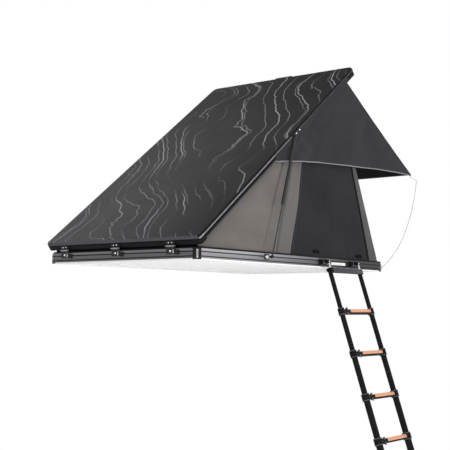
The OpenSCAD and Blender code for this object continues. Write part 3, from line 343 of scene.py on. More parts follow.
def base_rail_material(name, dark, light, stretch, roughness, hinge_light=1.0, open_light=1.0):
    """Satin anodised rail: fine streaks along it, a painted highlight on its top flange, and painted shade
    round its two grooves and at its foot. Painted light drifts its tone from the hinge end to the opening
    end."""
    material, tree = start_material(name)
    place = add(tree, "ShaderNodeTexCoord").outputs["Object"]
    streak = streaks(tree, place, stretch, RAIL_STREAKS, 4.0)
    soft = add(tree, RANGE, (streak, 0.3, 0.7, 0.35, 0.65))
    colour = add(tree, BLEND, {"Factor": soft, 6: srgb(dark), 7: srgb(light)}, data_type="RGBA").outputs[2]
    spot = add(tree, PARTS, (place,))
    high = spot.outputs[2]
    # Painted highlight: the top flange is paler
    shade = add(tree, RANGE, (high, *FLANGE_ZS, 1.0, FLANGE_HIGHLIGHT))
    # Painted light: the tone drifts from the hinge end's level to the opening end's
    shares = [add(tree, RANGE, (spot.outputs[0], *LIGHT_FALLOFF_XS, hinge_light, open_light))]
    # Painted shade beside each groove and at the rail's foot
    for groove in RAIL_GROOVES:
        above = add(tree, MATHS, (high, groove), operation="SUBTRACT")
        away = add(tree, MATHS, (above,), operation="ABSOLUTE")
        shares.append(add(tree, RANGE, (away, *GROOVE_SHADE)))
    shares.append(add(tree, RANGE, (high, *FOOT_SHADE)))
    for share in shares:
        shade = add(tree, MATHS, (shade, share), operation="MULTIPLY")
    tinted = add(tree, BLEND, {"Factor": 1.0, 6: colour, 7: shade}, data_type="RGBA", blend_type="MULTIPLY")
    relief = add(tree, "ShaderNodeBump", {"Strength": 0.08, "Distance": 0.0002, "Height": streak})
    return end_material(material, {"Base Color": tinted.outputs[2], "Metallic": 0.75, "Roughness": roughness,
                                   "Normal": relief, "Specular IOR Level": 0.3})


# Anodised extrusion: satin, with fine streaks along the rail, painted shade at its two grooves and foot, a
# painted highlight on its top flange, and painted light that is bright at the hinge end and dark at the
# opening end
rail_metal = base_rail_material("satin anodised aluminium rail", "#77777a", "#9a9a9e",
                                stretch=(0.2, 6.0, 6.0), roughness=0.36, hinge_light=1.25, open_light=0.15)
# The same on the short rails: painted shade makes them darker, and they are duller, with streaks across the
# tent
# Painted shade: a darker copy of the side rails' colours
rail_metal_end = base_rail_material("satin anodised aluminium end rail", "#555557", "#6c6c6e",
                                    stretch=(6.0, 0.2, 6.0), roughness=0.42)
# Printed and coated sheet: a dark ground with hardly any shine under pale flowing lines, and a painted sheen
# that pales the ground towards the far hinge corner
lid_print = lid_print_material("printed satin aluminium sheet")
# Dark anodised: almost black, with a painted highlight along its bevel, one bright line below the top face
lid_side_metal = lid_edge_material("dark anodised side rail with painted bevel highlight", bright="#b4b4b8",
                                   highlight_from=0.0125, highlight_to=0.0205, plain="#111113", highlight_fade=0.25)
# The same across the ends: the bevel's painted highlight is a wider and greyer band
lid_end_metal = lid_edge_material("dark anodised end rail with painted bevel highlight", bright="#58585c",
                                  highlight_from=-0.01, highlight_to=0.019, plain="#17171a")
# Dark anodised extrusion: a soft sheen drawn out across the tent
dark_metal = brushed_material("dark anodised cross rail", "#1d1d1f", "#2a2a2d", stretch=(5.0, 0.3, 5.0),
                              roughness=0.45, metallic=0.6)
# Copper-coloured anodising: warm and satin, with fine streaks along each tread
copper_tread = brushed_material("copper anodised tread", "#c98d68", "#e0a684", stretch=(0.5, 5.0, 5.0),
                                roughness=0.42, metallic=0.35)
# Anodised drawn tube: deep black with a faint, soft highlight
ladder_black = moulded_material("black anodised aluminium tube", "#0c0c0d", "#141416", roughness=0.5,
                                grit_mm=2.0, bump=0.1, specular=0.08)
# Bright zinc plate: silvery, broken reflections
bright_steel = brushed_material("bright zinc plated steel", "#b4b5b8", "#dcdde0", stretch=(4.0, 4.0, 4.0),
                                roughness=0.26)
# Satin zinc plate: greyer and softer than the bright one
satin_zinc = brushed_material("satin zinc plated steel", "#7f8083", "#a2a3a6", stretch=(4.0, 4.0, 4.0),
                              roughness=0.34)
# Ground and oxidised rod: dark, with a narrow highlight along it
rod_oxide = brushed_material("dark oxide piston rod", "#1c1c1e", "#2a2a2c", stretch=(1.0, 6.0, 1.0),
                             roughness=0.3, metallic=0.5)
# Powder coat: black, with a fine texture that breaks up the highlight
black_coat = moulded_material("black powder coated steel", "#0f0f10", "#171718", roughness=0.42, grit_mm=0.9,
                              bump=0.2, specular=0.3)
# Coated board: flat white, almost without shine
white_board = moulded_material("white coated composite board", "#f1f1f1", "#f8f8f8", roughness=0.6,
                               grit_mm=3.0, bump=0.08, specular=0.2)
# Powder coat on bars: the same white, a little smoother
white_bar = moulded_material("white powder coated bar", "#f1f1f1", "#f8f8f8", roughness=0.5, grit_mm=1.5,
                             bump=0.1, specular=0.2)
# Glass fibre in resin: off-white and half glossy
pole_white = moulded_material("white fibreglass rod", "#c2c1bf", "#d0cfcd", roughness=0.4, grit_mm=0.8,
                              bump=0.05, specular=0.2)
# Baked enamel: smooth, pale and half glossy
pale_plate = moulded_material("pale enamel plate", "#dfdfdf", "#ececec", roughness=0.4)
# Moulded nylon: clean white with a soft shine
white_washer = moulded_material("white nylon washer", "#e8e8e6", "#f4f4f2", roughness=0.4)
# Moulded nylon: pale grey and dull
pale_nylon = moulded_material("pale grey moulded nylon", "#a9a9a8", "#b8b8b6", roughness=0.5, specular=0.2)
# Moulded nylon: black and dull, with a fine grit
black_nylon = moulded_material("black moulded nylon", "#121213", "#1a1a1c", roughness=0.5, specular=0.2)
# Moulded caps: the deepest black, almost without shine
cap_black = moulded_material("black moulded corner cap", "#0a0a0b", "#101011", roughness=0.6, grit_mm=1.2,
                             bump=0.15, specular=0.06)
# Moulded plate: dark grey, a shade above the black pieces round it
ladder_plate = moulded_material("dark grey moulded ladder plate", "#38383c", "#434348", roughness=0.55,
                                specular=0.2)
# Moulded tabs: mid grey, so that they stand out from the black housings
release_grey = moulded_material("grey moulded release tab", "#45474a", "#54565a", roughness=0.5, specular=0.2)
# Extruded rubber: black and matt
seal_rubber = moulded_material("black extruded rubber", "#0f0f10", "#181819", roughness=0.75, grit_mm=2.0,
                               bump=0.2, specular=0.15)
# Spun thread: small grey dashes on the cloth
thread_grey = moulded_material("grey sewing thread", "#5d5c5f", "#6a696c", roughness=0.8, specular=0.1)
# Woven canvas: a warm, matt grey whose weave shows close by
wall_cloth = cloth_material("taupe polycotton canvas", "#64605d", "#6d6966", thread_mm=7.0)
# The same canvas in pleats: painted shade where a pleat tucks under
wall_light = cloth_material("pleated taupe polycotton canvas", "#5f5c5b", "#686564", thread_mm=7.0,
                            pleat=0.04)
# The same canvas in grey: cooler and darker
wall_edge = cloth_material("grey polycotton canvas", "#4d4c4c", "#575655", thread_mm=7.0)
# Woven hem tape: dark and dense
hem_cloth = cloth_material("dark taupe woven hem", "#3c3836", "#474341", thread_mm=3.0, roughness=0.85,
                           sheen=0.02)
# Mesh on a backing: flat charcoal with hardly any sheen
door_cloth = cloth_material("charcoal mesh backed polyester", "#28272a", "#2e2d30", thread_mm=5.0,
                            roughness=0.85, sheen=0.02, bump=0.2, gloss=0.05)
# Coated cloth: charcoal, and smoother than the canvas
awning_cloth = cloth_material("charcoal coated polyester", "#302f32", "#373639", thread_mm=6.0, roughness=0.8,
                              sheen=0.02, bump=0.25, gloss=0.05)
# The same cloth with a black coat: it swallows the light
flap_cloth = cloth_material("black coated polyester", "#131314", "#19191b", thread_mm=6.0, roughness=0.8,
                            sheen=0.02, bump=0.2, gloss=0.05)
# Woven piping: thin pale lines along the hems
piping_cloth = cloth_material("grey woven piping", "#7c7b81", "#8d8c92", thread_mm=2.5, roughness=0.8,
                              sheen=0.1)
# Woven zip tape: black and flat
zip_cloth = cloth_material("black zip tape", "#0c0c0d", "#131314", thread_mm=3.0, roughness=0.8, sheen=0.02,
                           bump=0.2, gloss=0.05)
# Quilted lining: a soft, pale and matt grey
lining_cloth = cloth_material("grey quilted lining", "#878480", "#989590", thread_mm=5.0)
# Knitted cover: a soft, bluish and matt grey
ticking_cloth = cloth_material("grey knitted mattress cover", "#55565b", "#66676c", thread_mm=5.0)


# Mesh making

SHARP_ANGLE = math.radians(52)
TUBE_SIDES = 8
LOFT_UV = 0.01
TINY = 1e-6


def circle(count):
    """Cosines and sines at even turns round a circle."""
    turns = [2 * math.pi * k / count for k in range(count)]
    return [(math.cos(turn), math.sin(turn)) for turn in turns]


def carry(rows, place):
    """Rows of points, each point carried by a function."""
    return [[place(p) for p in row] for row in rows]


def put_piece(name, mesh, body):
    """Puts a mesh at the origin as a piece that rides on a body."""
    piece = bpy.data.objects.new(name, mesh)
    bpy.context.scene.collection.objects.link(piece)
    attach(piece, body)
    return piece


class Builder:
    """Collects points and faces, with a cloth UV in metres and a material number for each face."""

    def __init__(self):
        self.points = []
        self.faces = []
        self.uvs = []
        self.slots = []

    def face(self, ids, uvs, slot):
        self.faces.append(ids)
        self.uvs.append(uvs)
        self.slots.append(slot)

    def sheet(self, front, back, slot=0, back_slot=None):
        """A closed sheet between two equal grids of points."""
        nu = len(front)
        nv = len(front[0])
        first = len(self.points)
        for row in front + back:
            self.points.extend(row)
        middle = nv // 2
        along = [0.0]
        for a, b in zip(front, front[1:]):
            along.append(along[-1] + (b[middle] - a[middle]).length)
        centre = front[nu // 2]
        up = [0.0]
        for a, b in zip(centre, centre[1:]):
            up.append(up[-1] + (b - a).length)
        other = slot if back_slot is None else back_slot

        def at(layer, i, j):
            return first + (layer * nu + i) * nv + j

        def places(ring):
            return [(along[i], up[j]) for i, j in ring]

        for i in range(nu - 1):
            for j in range(nv - 1):
                ring = [(i, j), (i + 1, j), (i + 1, j + 1), (i, j + 1)]
                self.face([at(0, *c) for c in ring], places(ring), slot)
                ring = ring[::-1]
                self.face([at(1, *c) for c in ring], places(ring), other)
        border = [(i, 0) for i in range(nu)] + [(nu - 1, j) for j in range(1, nv)]
        border += [(i, nv - 1) for i in range(nu - 2, -1, -1)] + [(0, j) for j in range(nv - 2, -1, -1)]
        for a, b in zip(border, border[1:]):
            ids = [at(0, *b), at(0, *a), at(1, *a), at(1, *b)]
            self.face(ids, places([b, a, a, b]), slot)

    def skin(self, rings, place, slot=0, closed_ends=True):
        """Joins rings of equal length. A function of the ring's and the point's number gives the UV."""
        first = len(self.points)
        size = len(rings[0])
        for ring in rings:
            self.points.extend(ring)
        for i in range(len(rings) - 1):
            for k in range(size):
                corners = [(i, k), (i, k + 1), (i + 1, k + 1), (i + 1, k)]
                ids = [first + a * size + b % size for a, b in corners]
                self.face(ids, [place(*c) for c in corners], slot)
        if closed_ends:
            start = list(range(first, first + size))
            end = list(range(len(self.points) - size, len(self.points)))
            self.face(start[::-1], [(0, 0)] * size, slot)
            self.face(end, [(0, 0)] * size, slot)

    def tube(self, path, radius, slot=0):
        """A round tube along a path."""
        rings = []
        lengths = []
        length = 0.0
        side = Vector((0, 1, 0))
        for i, p in enumerate(path):
            ahead = path[min(i + 1, len(path) - 1)] - path[max(i - 1, 0)]
            ahead.normalize()
            side = side - ahead * side.dot(ahead)
            if side.length < TINY:
                side = Vector((0, 0, 1)).cross(ahead)
            side.normalize()
            lift = ahead.cross(side)
            if i:
                length += (p - path[i - 1]).length
            lengths.append(length)
            rings.append([p + radius * (c * side + s * lift) for c, s in circle(TUBE_SIDES)])
        wide = 2 * math.pi * radius / TUBE_SIDES
        self.skin(rings, lambda i, k: (lengths[i], wide * k), slot)

    def loft(self, rings, closed_ends=True):
        """A skin over rings of a rigid shape."""
        self.skin(rings, lambda i, k: (k * LOFT_UV, i * LOFT_UV), 0, closed_ends)

    def piece(self, name, materials, body, slot_name, node=None, merge=False):
        """Makes the piece on its body, with the node that it stands for hidden. Its slot is not used."""
        mesh = bpy.data.meshes.new(name)
        mesh.from_pydata([tuple(p) for p in self.points], [], self.faces)
        layer = mesh.uv_layers.new(name="cloth")
        layer.data.foreach_set("uv", [value for uv in self.uvs for pair in uv for value in pair])
        mesh.polygons.foreach_set("material_index", self.slots)
        work = bmesh.new()
        work.from_mesh(mesh)
        if merge:
            bmesh.ops.remove_doubles(work, verts=work.verts, dist=TINY)
        bmesh.ops.recalc_face_normals(work, faces=work.faces)
        work.to_mesh(mesh)
        work.free()
        for material in materials:
            mesh.materials.append(material)
        mesh.polygons.foreach_set("use_smooth", [True] * len(mesh.polygons))
        mesh.set_sharp_from_angle(angle=SHARP_ANGLE)
        mesh.update()
        piece = put_piece(name, mesh, body)
        if node:
            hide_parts(node)
        return piece


def flip(point, side):
    """Mirrors a near-side point to the far side when side is -1."""
    return Vector((point[0], point[1] * side, point[2]))


CORNER_TURNS = 4


def rounded_box(low, high, radius):
    """Rings of a box with rounded upright edges and softened top and bottom."""
    layers = ((0.0, 1.0), (0.35, 0.35), (1.0, 0.0))
    soft = min(radius * 0.6, (high[2] - low[2]) * 0.3)
    heights = [(low[2] + soft * k, soft * d) for k, d in layers]
    heights += [(high[2] - soft * k, soft * d) for k, d in reversed(layers)]
    corners = ((high[0], high[1], 0), (low[0], high[1], 90), (low[0], low[1], 180), (high[0], low[1], 270))
    rings = []
    for z, inset in heights:
        ring = []
        r = max(radius - inset, radius * 0.2)
        for cx, cy, start in corners:
            mx = cx - math.copysign(r + inset, cx - (low[0] + high[0]) / 2)
            my = cy - math.copysign(r + inset, cy - (low[1] + high[1]) / 2)
            for k in range(CORNER_TURNS + 1):
                turn = math.radians(start + 90 * k / CORNER_TURNS)
                ring.append(Vector((mx + r * math.cos(turn), my + r * math.sin(turn), z)))
        rings.append(ring)
    return rings


# Camera, light and floor

CAMERA_PLACE = (-5.818, -4.420, -0.299)
CAMERA_YAW = math.radians(37.420)
CAMERA_PITCH = math.radians(4.800)
CAMERA_ROLL = math.radians(0.354)
CAMERA_LENS = 80.14
CAMERA_SENSOR = 36.0
CAMERA_REACH = 200.0


def place_camera():
    """The camera of the photograph: its place, its turn and its lens."""
    level = math.cos(CAMERA_PITCH)
    ahead = Vector((level * math.cos(CAMERA_YAW), level * math.sin(CAMERA_YAW), math.sin(CAMERA_PITCH)))
    right = ahead.cross(Vector((0, 0, 1))).normalized()
    above = right.cross(ahead)
    right_rolled = right * math.cos(CAMERA_ROLL) + above * math.sin(CAMERA_ROLL)
    above_rolled = above * math.cos(CAMERA_ROLL) - right * math.sin(CAMERA_ROLL)
    data = bpy.data.cameras.new("photo camera")
    data.sensor_fit = "HORIZONTAL"
    data.sensor_width = CAMERA_SENSOR
    data.lens = CAMERA_LENS
    data.clip_end = CAMERA_REACH
    camera = bpy.data.objects.new("photo camera", data)
    turn = Matrix((right_rolled, above_rolled, -ahead)).transposed().to_4x4()
    camera.matrix_world = Matrix.Translation(CAMERA_PLACE) @ turn
    bpy.context.scene.collection.objects.link(camera)
    bpy.context.scene.camera = camera


# Each lamp's name, place, target, width and power, and whether metal shows it: one that metal doesn't show
# lights the cloth without a glare on the rails
LAMPS = (
    ("key lamp", (-5.0, -5.5, 5.5), (0.0, 0.0, 0.4), 4.5, 330.0, True),
    ("side lamp", (2.3, -5.2, 0.9), (0.0, -0.6, 0.5), 0.5, 128.0, False),
    ("back lamp", (4.0, 6.0, 5.0), (0.0, 0.0, 0.4), 4.0, 140.0, True),
    ("low lamp", (-2.6, -3.6, -1.9), (0.1, 0.1, 0.0), 3.0, 85.0, True),
    ("under lamp", (-0.6, 0.0, -1.6), (-0.2, 0.0, 0.0), 2.0, 6.0, False),
)


def soft_lamp(name, place, target, size, power, in_gloss):
    """A round lamp that points at a target."""
    data = bpy.data.lights.new(name, "AREA")
    data.shape = "DISK"
    data.size = size
    data.energy = power
    lamp = bpy.data.objects.new(name, data)
    away = Vector(place) - Vector(target)
    lamp.matrix_world = Matrix.Translation(place) @ away.to_track_quat("Z", "Y").to_matrix().to_4x4()
    lamp.visible_camera = False
    lamp.visible_glossy = in_gloss
    bpy.context.scene.collection.objects.link(lamp)


WHITE = (1, 1, 1, 1)
FLOOR_TONE = (0.86, 0.86, 0.86, 1)
WORLD_LEVEL = 0.40
FLOOR_RADIUS = 4.8
FLOOR_SIDES = 96
FLOOR_CENTRE = (0.3, -0.3, FLOOR_Z)
# The floor near the object keeps its shadow, and goes over to plain white between these radii
FLOOR_FADE = (2.6, 4.6)
FLOOR_FADE_FROM = 0.35


def backdrop_rays(tree):
    """1 for the rays to which the studio shows its plain white, and 0 for those that carry light."""
    rays = add(tree, "ShaderNodeLightPath")
    seen = rays.outputs["Is Camera Ray"]
    for kind in ("Is Glossy Ray", "Is Transmission Ray"):
        seen = add(tree, MATHS, (seen, rays.outputs[kind]), operation="MAXIMUM")
    return seen


def studio():
    scene = bpy.context.scene
    scene.view_settings.view_transform = "Standard"
    world = bpy.data.worlds.new("white studio")
    world.use_nodes = True
    tree = world.node_tree
    tree.nodes.clear()
    level = add(tree, RANGE, {0: backdrop_rays(tree), 3: WORLD_LEVEL, 4: 1.0})
    light = add(tree, "ShaderNodeBackground", {"Color": WHITE, "Strength": level})
    add(tree, "ShaderNodeOutputWorld", {"Surface": light})
    scene.world = world
    for lamp in LAMPS:
        soft_lamp(*lamp)

    material, tree = start_material("white studio floor")
    place = add(tree, "ShaderNodeTexCoord")
    reach = add(tree, "ShaderNodeVectorMath", (place.outputs["Object"],), operation="LENGTH")
    edge = add(tree, RANGE, (reach.outputs["Value"], *FLOOR_FADE, FLOOR_FADE_FROM, 1.0))
    glow = add(tree, MATHS, (backdrop_rays(tree), edge), operation="MULTIPLY")
    plain = add(tree, "ShaderNodeBsdfDiffuse", {"Color": FLOOR_TONE})
    white = add(tree, "ShaderNodeEmission", {"Color": WHITE, "Strength": 1.0})
    both = add(tree, "ShaderNodeMixShader", (glow, plain, white))
    add(tree, "ShaderNodeOutputMaterial", {"Surface": both})
    mesh = bpy.data.meshes.new("floor")
    work = bmesh.new()
    bmesh.ops.create_circle(work, cap_ends=True, radius=FLOOR_RADIUS, segments=FLOOR_SIDES)
    work.to_mesh(mesh)
    work.free()
    mesh.materials.append(material)
    floor = bpy.data.objects.new("floor", mesh)
    floor.location = FLOOR_CENTRE
    scene.collection.objects.link(floor)


place_camera()
studio()


# Finishes on the solids that stay as they are

BASE_RAILS = ("base_rail_near", "base_rail_far", "base_rail_hinge_end", "base_rail_opening_end")
UNDER_Z = 0.012
INWARD = -0.3
DOWNWARD = -0.2
SQUARE_ON = 0.75


def paint(material, *nodes):
    for name in nodes:
        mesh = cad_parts[name].data
        mesh.materials.clear()
        mesh.materials.append(material)


def paint_faces(material, chosen, *nodes):
    """Gives some faces of a solid another finish."""
    for name in nodes:
        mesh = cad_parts[name].data
        mesh.materials.append(material)
        slot_number = len(mesh.materials) - 1
        for face in mesh.polygons:
            if chosen(face):
                face.material_index = slot_number


def faces_under(face):
    """Faces of the tray that show from below: undersides and inner walls."""
    inward = face.normal.x * face.center.x + face.normal.y * face.center.y < INWARD
    downward = face.normal.z < DOWNWARD
    return (downward and face.center.z < UNDER_Z) or (inward and face.center.z < BASE_H)


def lid_side_faces(face):
    return abs(face.normal.y) > SQUARE_ON


def lid_end_faces(face):
    return abs(face.normal.dot(LID_ALONG)) > SQUARE_ON


paint(rail_metal, *BASE_RAILS[:2])
paint(rail_metal_end, *BASE_RAILS[2:])
paint(white_board, "floor_panel")
paint(white_bar, "roof_bar_rails")
paint(black_nylon, "base_corner_connectors", "lid_handle", "ladder_knob_left", "ladder_knob_right")
paint(cap_black, "lid_corner_caps")
paint(pale_nylon, "pole_sockets")
paint(black_coat, "hinge_base_leaves", "hinge_lid_leaves", "strut_lid_brackets", "ladder_brackets",
      "strut_cylinder_near", "strut_cylinder_far", "strut_base_brackets")
paint(bright_steel, "hinge_pins", "latch_anchors", "latch_keepers")
paint(rod_oxide, "strut_rod_near", "strut_rod_far")
paint(seal_rubber, "base_seal", "latch_strap_near", "latch_strap_far")
paint(lid_print, "lid_skin")
paint(lid_side_metal, "lid_rail_near", "lid_rail_far")
paint(lid_end_metal, "lid_rail_hinge_end", "lid_rail_opening_end")
paint(dark_metal, "lid_keder_rail")
paint(pole_white, "awning_pole_near", "awning_pole_far")
paint(ladder_black, "ladder_top", *[f"ladder_section_{k + 1}" for k in range(SECTION_COUNT)])
paint_faces(rail_metal, lambda face: face.center.x > 0, "base_corner_connectors")
paint_faces(rail_metal_end, lambda face: face.center.x < 0 < face.center.y, "base_corner_connectors")
paint_faces(white_bar, faces_under, *BASE_RAILS, "base_corner_connectors")
paint_faces(lid_side_metal, lid_side_faces, "lid_corner_caps")
paint_faces(lid_end_metal, lid_end_faces, "lid_corner_caps")


# Tent walls

WALL_GAP = 0.005
WALL_FOOT_Y = NEAR_Y + SEAL_SIDE_IN + SEAL_W + WALL_GAP
WALL_FOOT_Z = BASE_H + FIT
WALL_START_GAP = 0.001
WALL_START = BASE_X0 + SEAL_HINGE_IN + SEAL_W + WALL_START_GAP
WALL_HEAD_SHIFT = 0.004
WALL_HEAD_START = WALL_START + WALL_HEAD_SHIFT
REAR_FOOT = 0.024
REAR_HEAD_IN = 0.284
REAR_HEAD_X = LID_X1 - REAR_HEAD_IN
WALL_LEAN = 0.024
LEAN_SPAN = 0.1
FOLD_D = 0.004
WALL_FOLDS = 5
WALL_CREASE = 0.00132
WALL_PULL = 0.0016
# The slanting pulls above the tray: the height where they are strongest, their spread and how fast they turn
PULL_Z = 0.12
PULL_SPREAD = 0.09
PULL_TURNS = 42


def ripple(x, z, seed, size):
    """Soft creases from seeded noise, between about -1 and 1."""
    return noise.noise(Vector((x / size, z / size, seed)))


def wall_point(u, v):
    """A point of the near wall: u runs from the hinge to the opening end, v from its foot to its head."""
    foot = Vector((mix(WALL_START, BASE_X1 - REAR_FOOT, u), WALL_FOOT_Y, WALL_FOOT_Z))
    lean = WALL_LEAN * min(1.0, u / LEAN_SPAN)
    head = lid_point(mix(WALL_HEAD_START, REAR_HEAD_X, u), WALL_FOOT_Y - lean, LID_Z0 - FIT)
    point = foot.lerp(head, v)
    arch = math.sin(math.pi * v)
    fold = FOLD_D * math.sin(2 * math.pi * WALL_FOLDS * u) * arch
    crease = WALL_CREASE * ripple(point.x, point.z * 0.35, seed=3.0, size=0.11) * min(1.0, 4 * arch)
    low_down = math.exp(-((point.z - PULL_Z) / PULL_SPREAD) ** 2)
    pull = WALL_PULL * math.sin((point.x * 0.8 + point.z) * PULL_TURNS) * low_down
    point.y += fold + crease + pull * arch
    return point


# Each edge as its share of the wall's length at the foot and how that grows with height
DOOR_LEFT = (0.45, 0.175, 0.1)
DOOR_RIGHT = (0.943, 0.05, 0.0)
STRIP_LEFT = (0.372, 0.12, 0.15)
STRIP_RIGHT = (0.4485, 0.175, 0.1)
REAR_STRIP_LEFT = (0.945, 0.05, 0.0)
REAR_STRIP_RIGHT = (0.9985, 0.0, 0.0)
REAR_SEAM = (0.986, 0.012, 0)
STRIP_HEIGHTS = (0.012, 0.985)
DOOR_HEIGHTS = (0.012, 0.93)
ZIP_HEIGHTS = (0.014, 0.925)
SEAM_HEIGHTS = (0.05, 0.9)
# Each panel's distance from the wall, its thickness and how far it puffs out
REAR_STRIP_LAY = (0.0011, 0.0008, 0.0004)
STRIP_LAY = (0.0013, 0.0008, 0.0012)
DOOR_LAY = (0.0019, 0.0015, 0.0016)
HEM_V = 0.006
HEM_OUT = Vector((0, -0.002, 0.002))
HEM_R = 0.0035
ZIP_SHIFT = -0.006
ZIP_OFF = 0.0032
ZIP_W = 0.026
ZIP_T = 0.0022
DOOR_TIES = ((0.6, 0.035), (0.868, 0.018))
TIE_WIDE = 0.045
TIE_TALL = 0.016
TIE_RISE = 0.012
TIE_OFF = 0.007
TIE_R = 0.0045
TOGGLE_HALF = 0.03
TOGGLE_OFF = 0.011
TOGGLE_R = 0.006


def edge_at(edge, v):
    return edge[0] + edge[1] * v + edge[2] * v * v


def edge_path(edge, shift, heights, offset, side, count):
    """Points up a curved edge of the wall."""
    path = []
    for v in steps(count, *heights):
        point = wall_point(edge_at(edge, v) + shift, v)
        path.append(flip(point + Vector((0, -offset, 0)), side))
    return path


def lay_panel(work, side, edges, heights, counts, lay, slot=0):
    """Lays a cloth panel on the side wall between two curved edges, a set distance proud of it."""
    offset, thick, swell = lay
    front = []
    back = []
    for a in steps(counts[0]):
        bow = math.sin(math.pi * a) ** 0.5
        outer_row = []
        inner_row = []
        for v in steps(counts[1], *heights):
            point = wall_point(mix(edge_at(edges[0], v), edge_at(edges[1], v), a), v)
            puff = swell * (1 + ripple(point.x * 1.4, point.z * 0.4, seed=9.0, size=0.08)) * bow
            outer_row.append(flip(point + Vector((0, -offset - thick - puff, 0)), side))
            inner_row.append(flip(point + Vector((0, -offset - puff, 0)), side))
        front.append(outer_row)
        back.append(inner_row)
    work.sheet(front, back, slot)


def band(work, path, width, lift, side, slot):
    """A flat tape of a set width that follows a path on the wall, with thinner edges."""
    front = []
    back = []
    for shift, share in ((-0.5, 0.3), (-0.42, 1.0), (0.42, 1.0), (0.5, 0.3)):
        front.append([p + Vector((shift * width, -lift * share * side, 0)) for p in path])
        back.append([p + Vector((shift * width, 0, 0)) for p in path])
    work.sheet(front, back, slot)


def close_with_lid(piece):
    """Gives a piece of the cloth between base and lid a mesh of its own."""
    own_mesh(piece)


def side_cloth(side, tag):
    """The wall of one long side, its pale strip and its door panel."""
    work = Builder()
    half = Vector((0, CLOTH_T / 2, 0))
    grid = [[wall_point(u, v) for v in steps(48)] for u in steps(170)]
    work.sheet(carry(grid, lambda p: flip(p - half, side)), carry(grid, lambda p: flip(p + half, side)))
    lay_panel(work, side, (REAR_STRIP_LEFT, REAR_STRIP_RIGHT), STRIP_HEIGHTS, (10, 60), REAR_STRIP_LAY, 1)
    work.tube([flip(wall_point(u, HEM_V) + HEM_OUT, side) for u in steps(120, 0.004, 0.996)], HEM_R, 2)
    wall = work.piece(f"wall_{tag}_canvas", [wall_cloth, wall_edge, hem_cloth], "base", "canvas",
                      f"wall_{tag}")
    close_with_lid(wall)

    work = Builder()
    lay_panel(work, side, (STRIP_LEFT, STRIP_RIGHT), STRIP_HEIGHTS, (26, 60), STRIP_LAY)
    strip = work.piece(f"wall_{tag}_pale_strip", [wall_light], "base", "canvas")
    close_with_lid(strip)

    work = Builder()
    lay_panel(work, side, (DOOR_LEFT, DOOR_RIGHT), DOOR_HEIGHTS, (84, 64), DOOR_LAY)
    band(work, edge_path(DOOR_RIGHT, ZIP_SHIFT, ZIP_HEIGHTS, ZIP_OFF, side, 60), ZIP_W, ZIP_T, side, 1)
    for u, v in DOOR_TIES:
        base = wall_point(u, v)
        loop = []
        for turn in steps(14, 0.0, math.pi):
            out = Vector((TIE_WIDE * math.cos(turn), -TIE_OFF, TIE_RISE + TIE_TALL * math.sin(turn)))
            loop.append(flip(base + out, side))
        work.tube(loop, TIE_R, 1)
        ends = steps(6, -TOGGLE_HALF, TOGGLE_HALF)
        work.tube([flip(base + Vector((x, -TOGGLE_OFF, TIE_RISE)), side) for x in ends], TOGGLE_R, 1)
    door = work.piece(f"door_{tag}_panel", [door_cloth, zip_cloth], "base", "mesh", f"door_panel_{tag}")
    close_with_lid(door)


for side, tag in SIDES:
    side_cloth(side, tag)

REAR_HALF = BASE_WID / 2 - SEAL_SIDE_IN - SEAL_W - WALL_GAP - CLOTH_T - 2 * FOLD_D
REAR_FOOT_Z = WALL_FOOT_Z + CLOTH_T / 2
REAR_HEAD = lid_point(REAR_HEAD_X, 0, LINER_Z - FIT)
REAR_SLOPE = Vector((REAR_HEAD.x - BASE_X1 + REAR_FOOT, 0, REAR_HEAD.z - REAR_FOOT_Z - CLOTH_T))
REAR_NORMAL = Vector((REAR_SLOPE.z, 0, -REAR_SLOPE.x)).normalized()
REAR_CREASE = 0.002
WINDOW_U = (0.16, 0.84)
WINDOW_V = (0.08, 0.82)
WINDOW_IN = 0.0019
WINDOW_OUT = 0.0034
# The window's zip cuts its upper corners a little
WINDOW_ZIP_TOP = 0.8
WINDOW_ZIP_U = (0.18, 0.82)
WINDOW_ZIP_R = 0.005
SILL_OFF = 0.0045
SILL_R = 0.003


def rear_point(u, v):
    """A point of the rear wall: u runs across it and v up it."""
    arch = math.sin(math.pi * v)
    fold = FOLD_D * math.sin(4 * math.pi * u) * arch
    point = Vector((BASE_X1 - REAR_FOOT, mix(-REAR_HALF, REAR_HALF, u), REAR_FOOT_Z)) + REAR_SLOPE * v
    crease = REAR_CREASE * ripple(point.y, point.z * 0.4, seed=5.0, size=0.1) * min(1.0, 4 * arch)
    return point + REAR_NORMAL * (fold + crease)


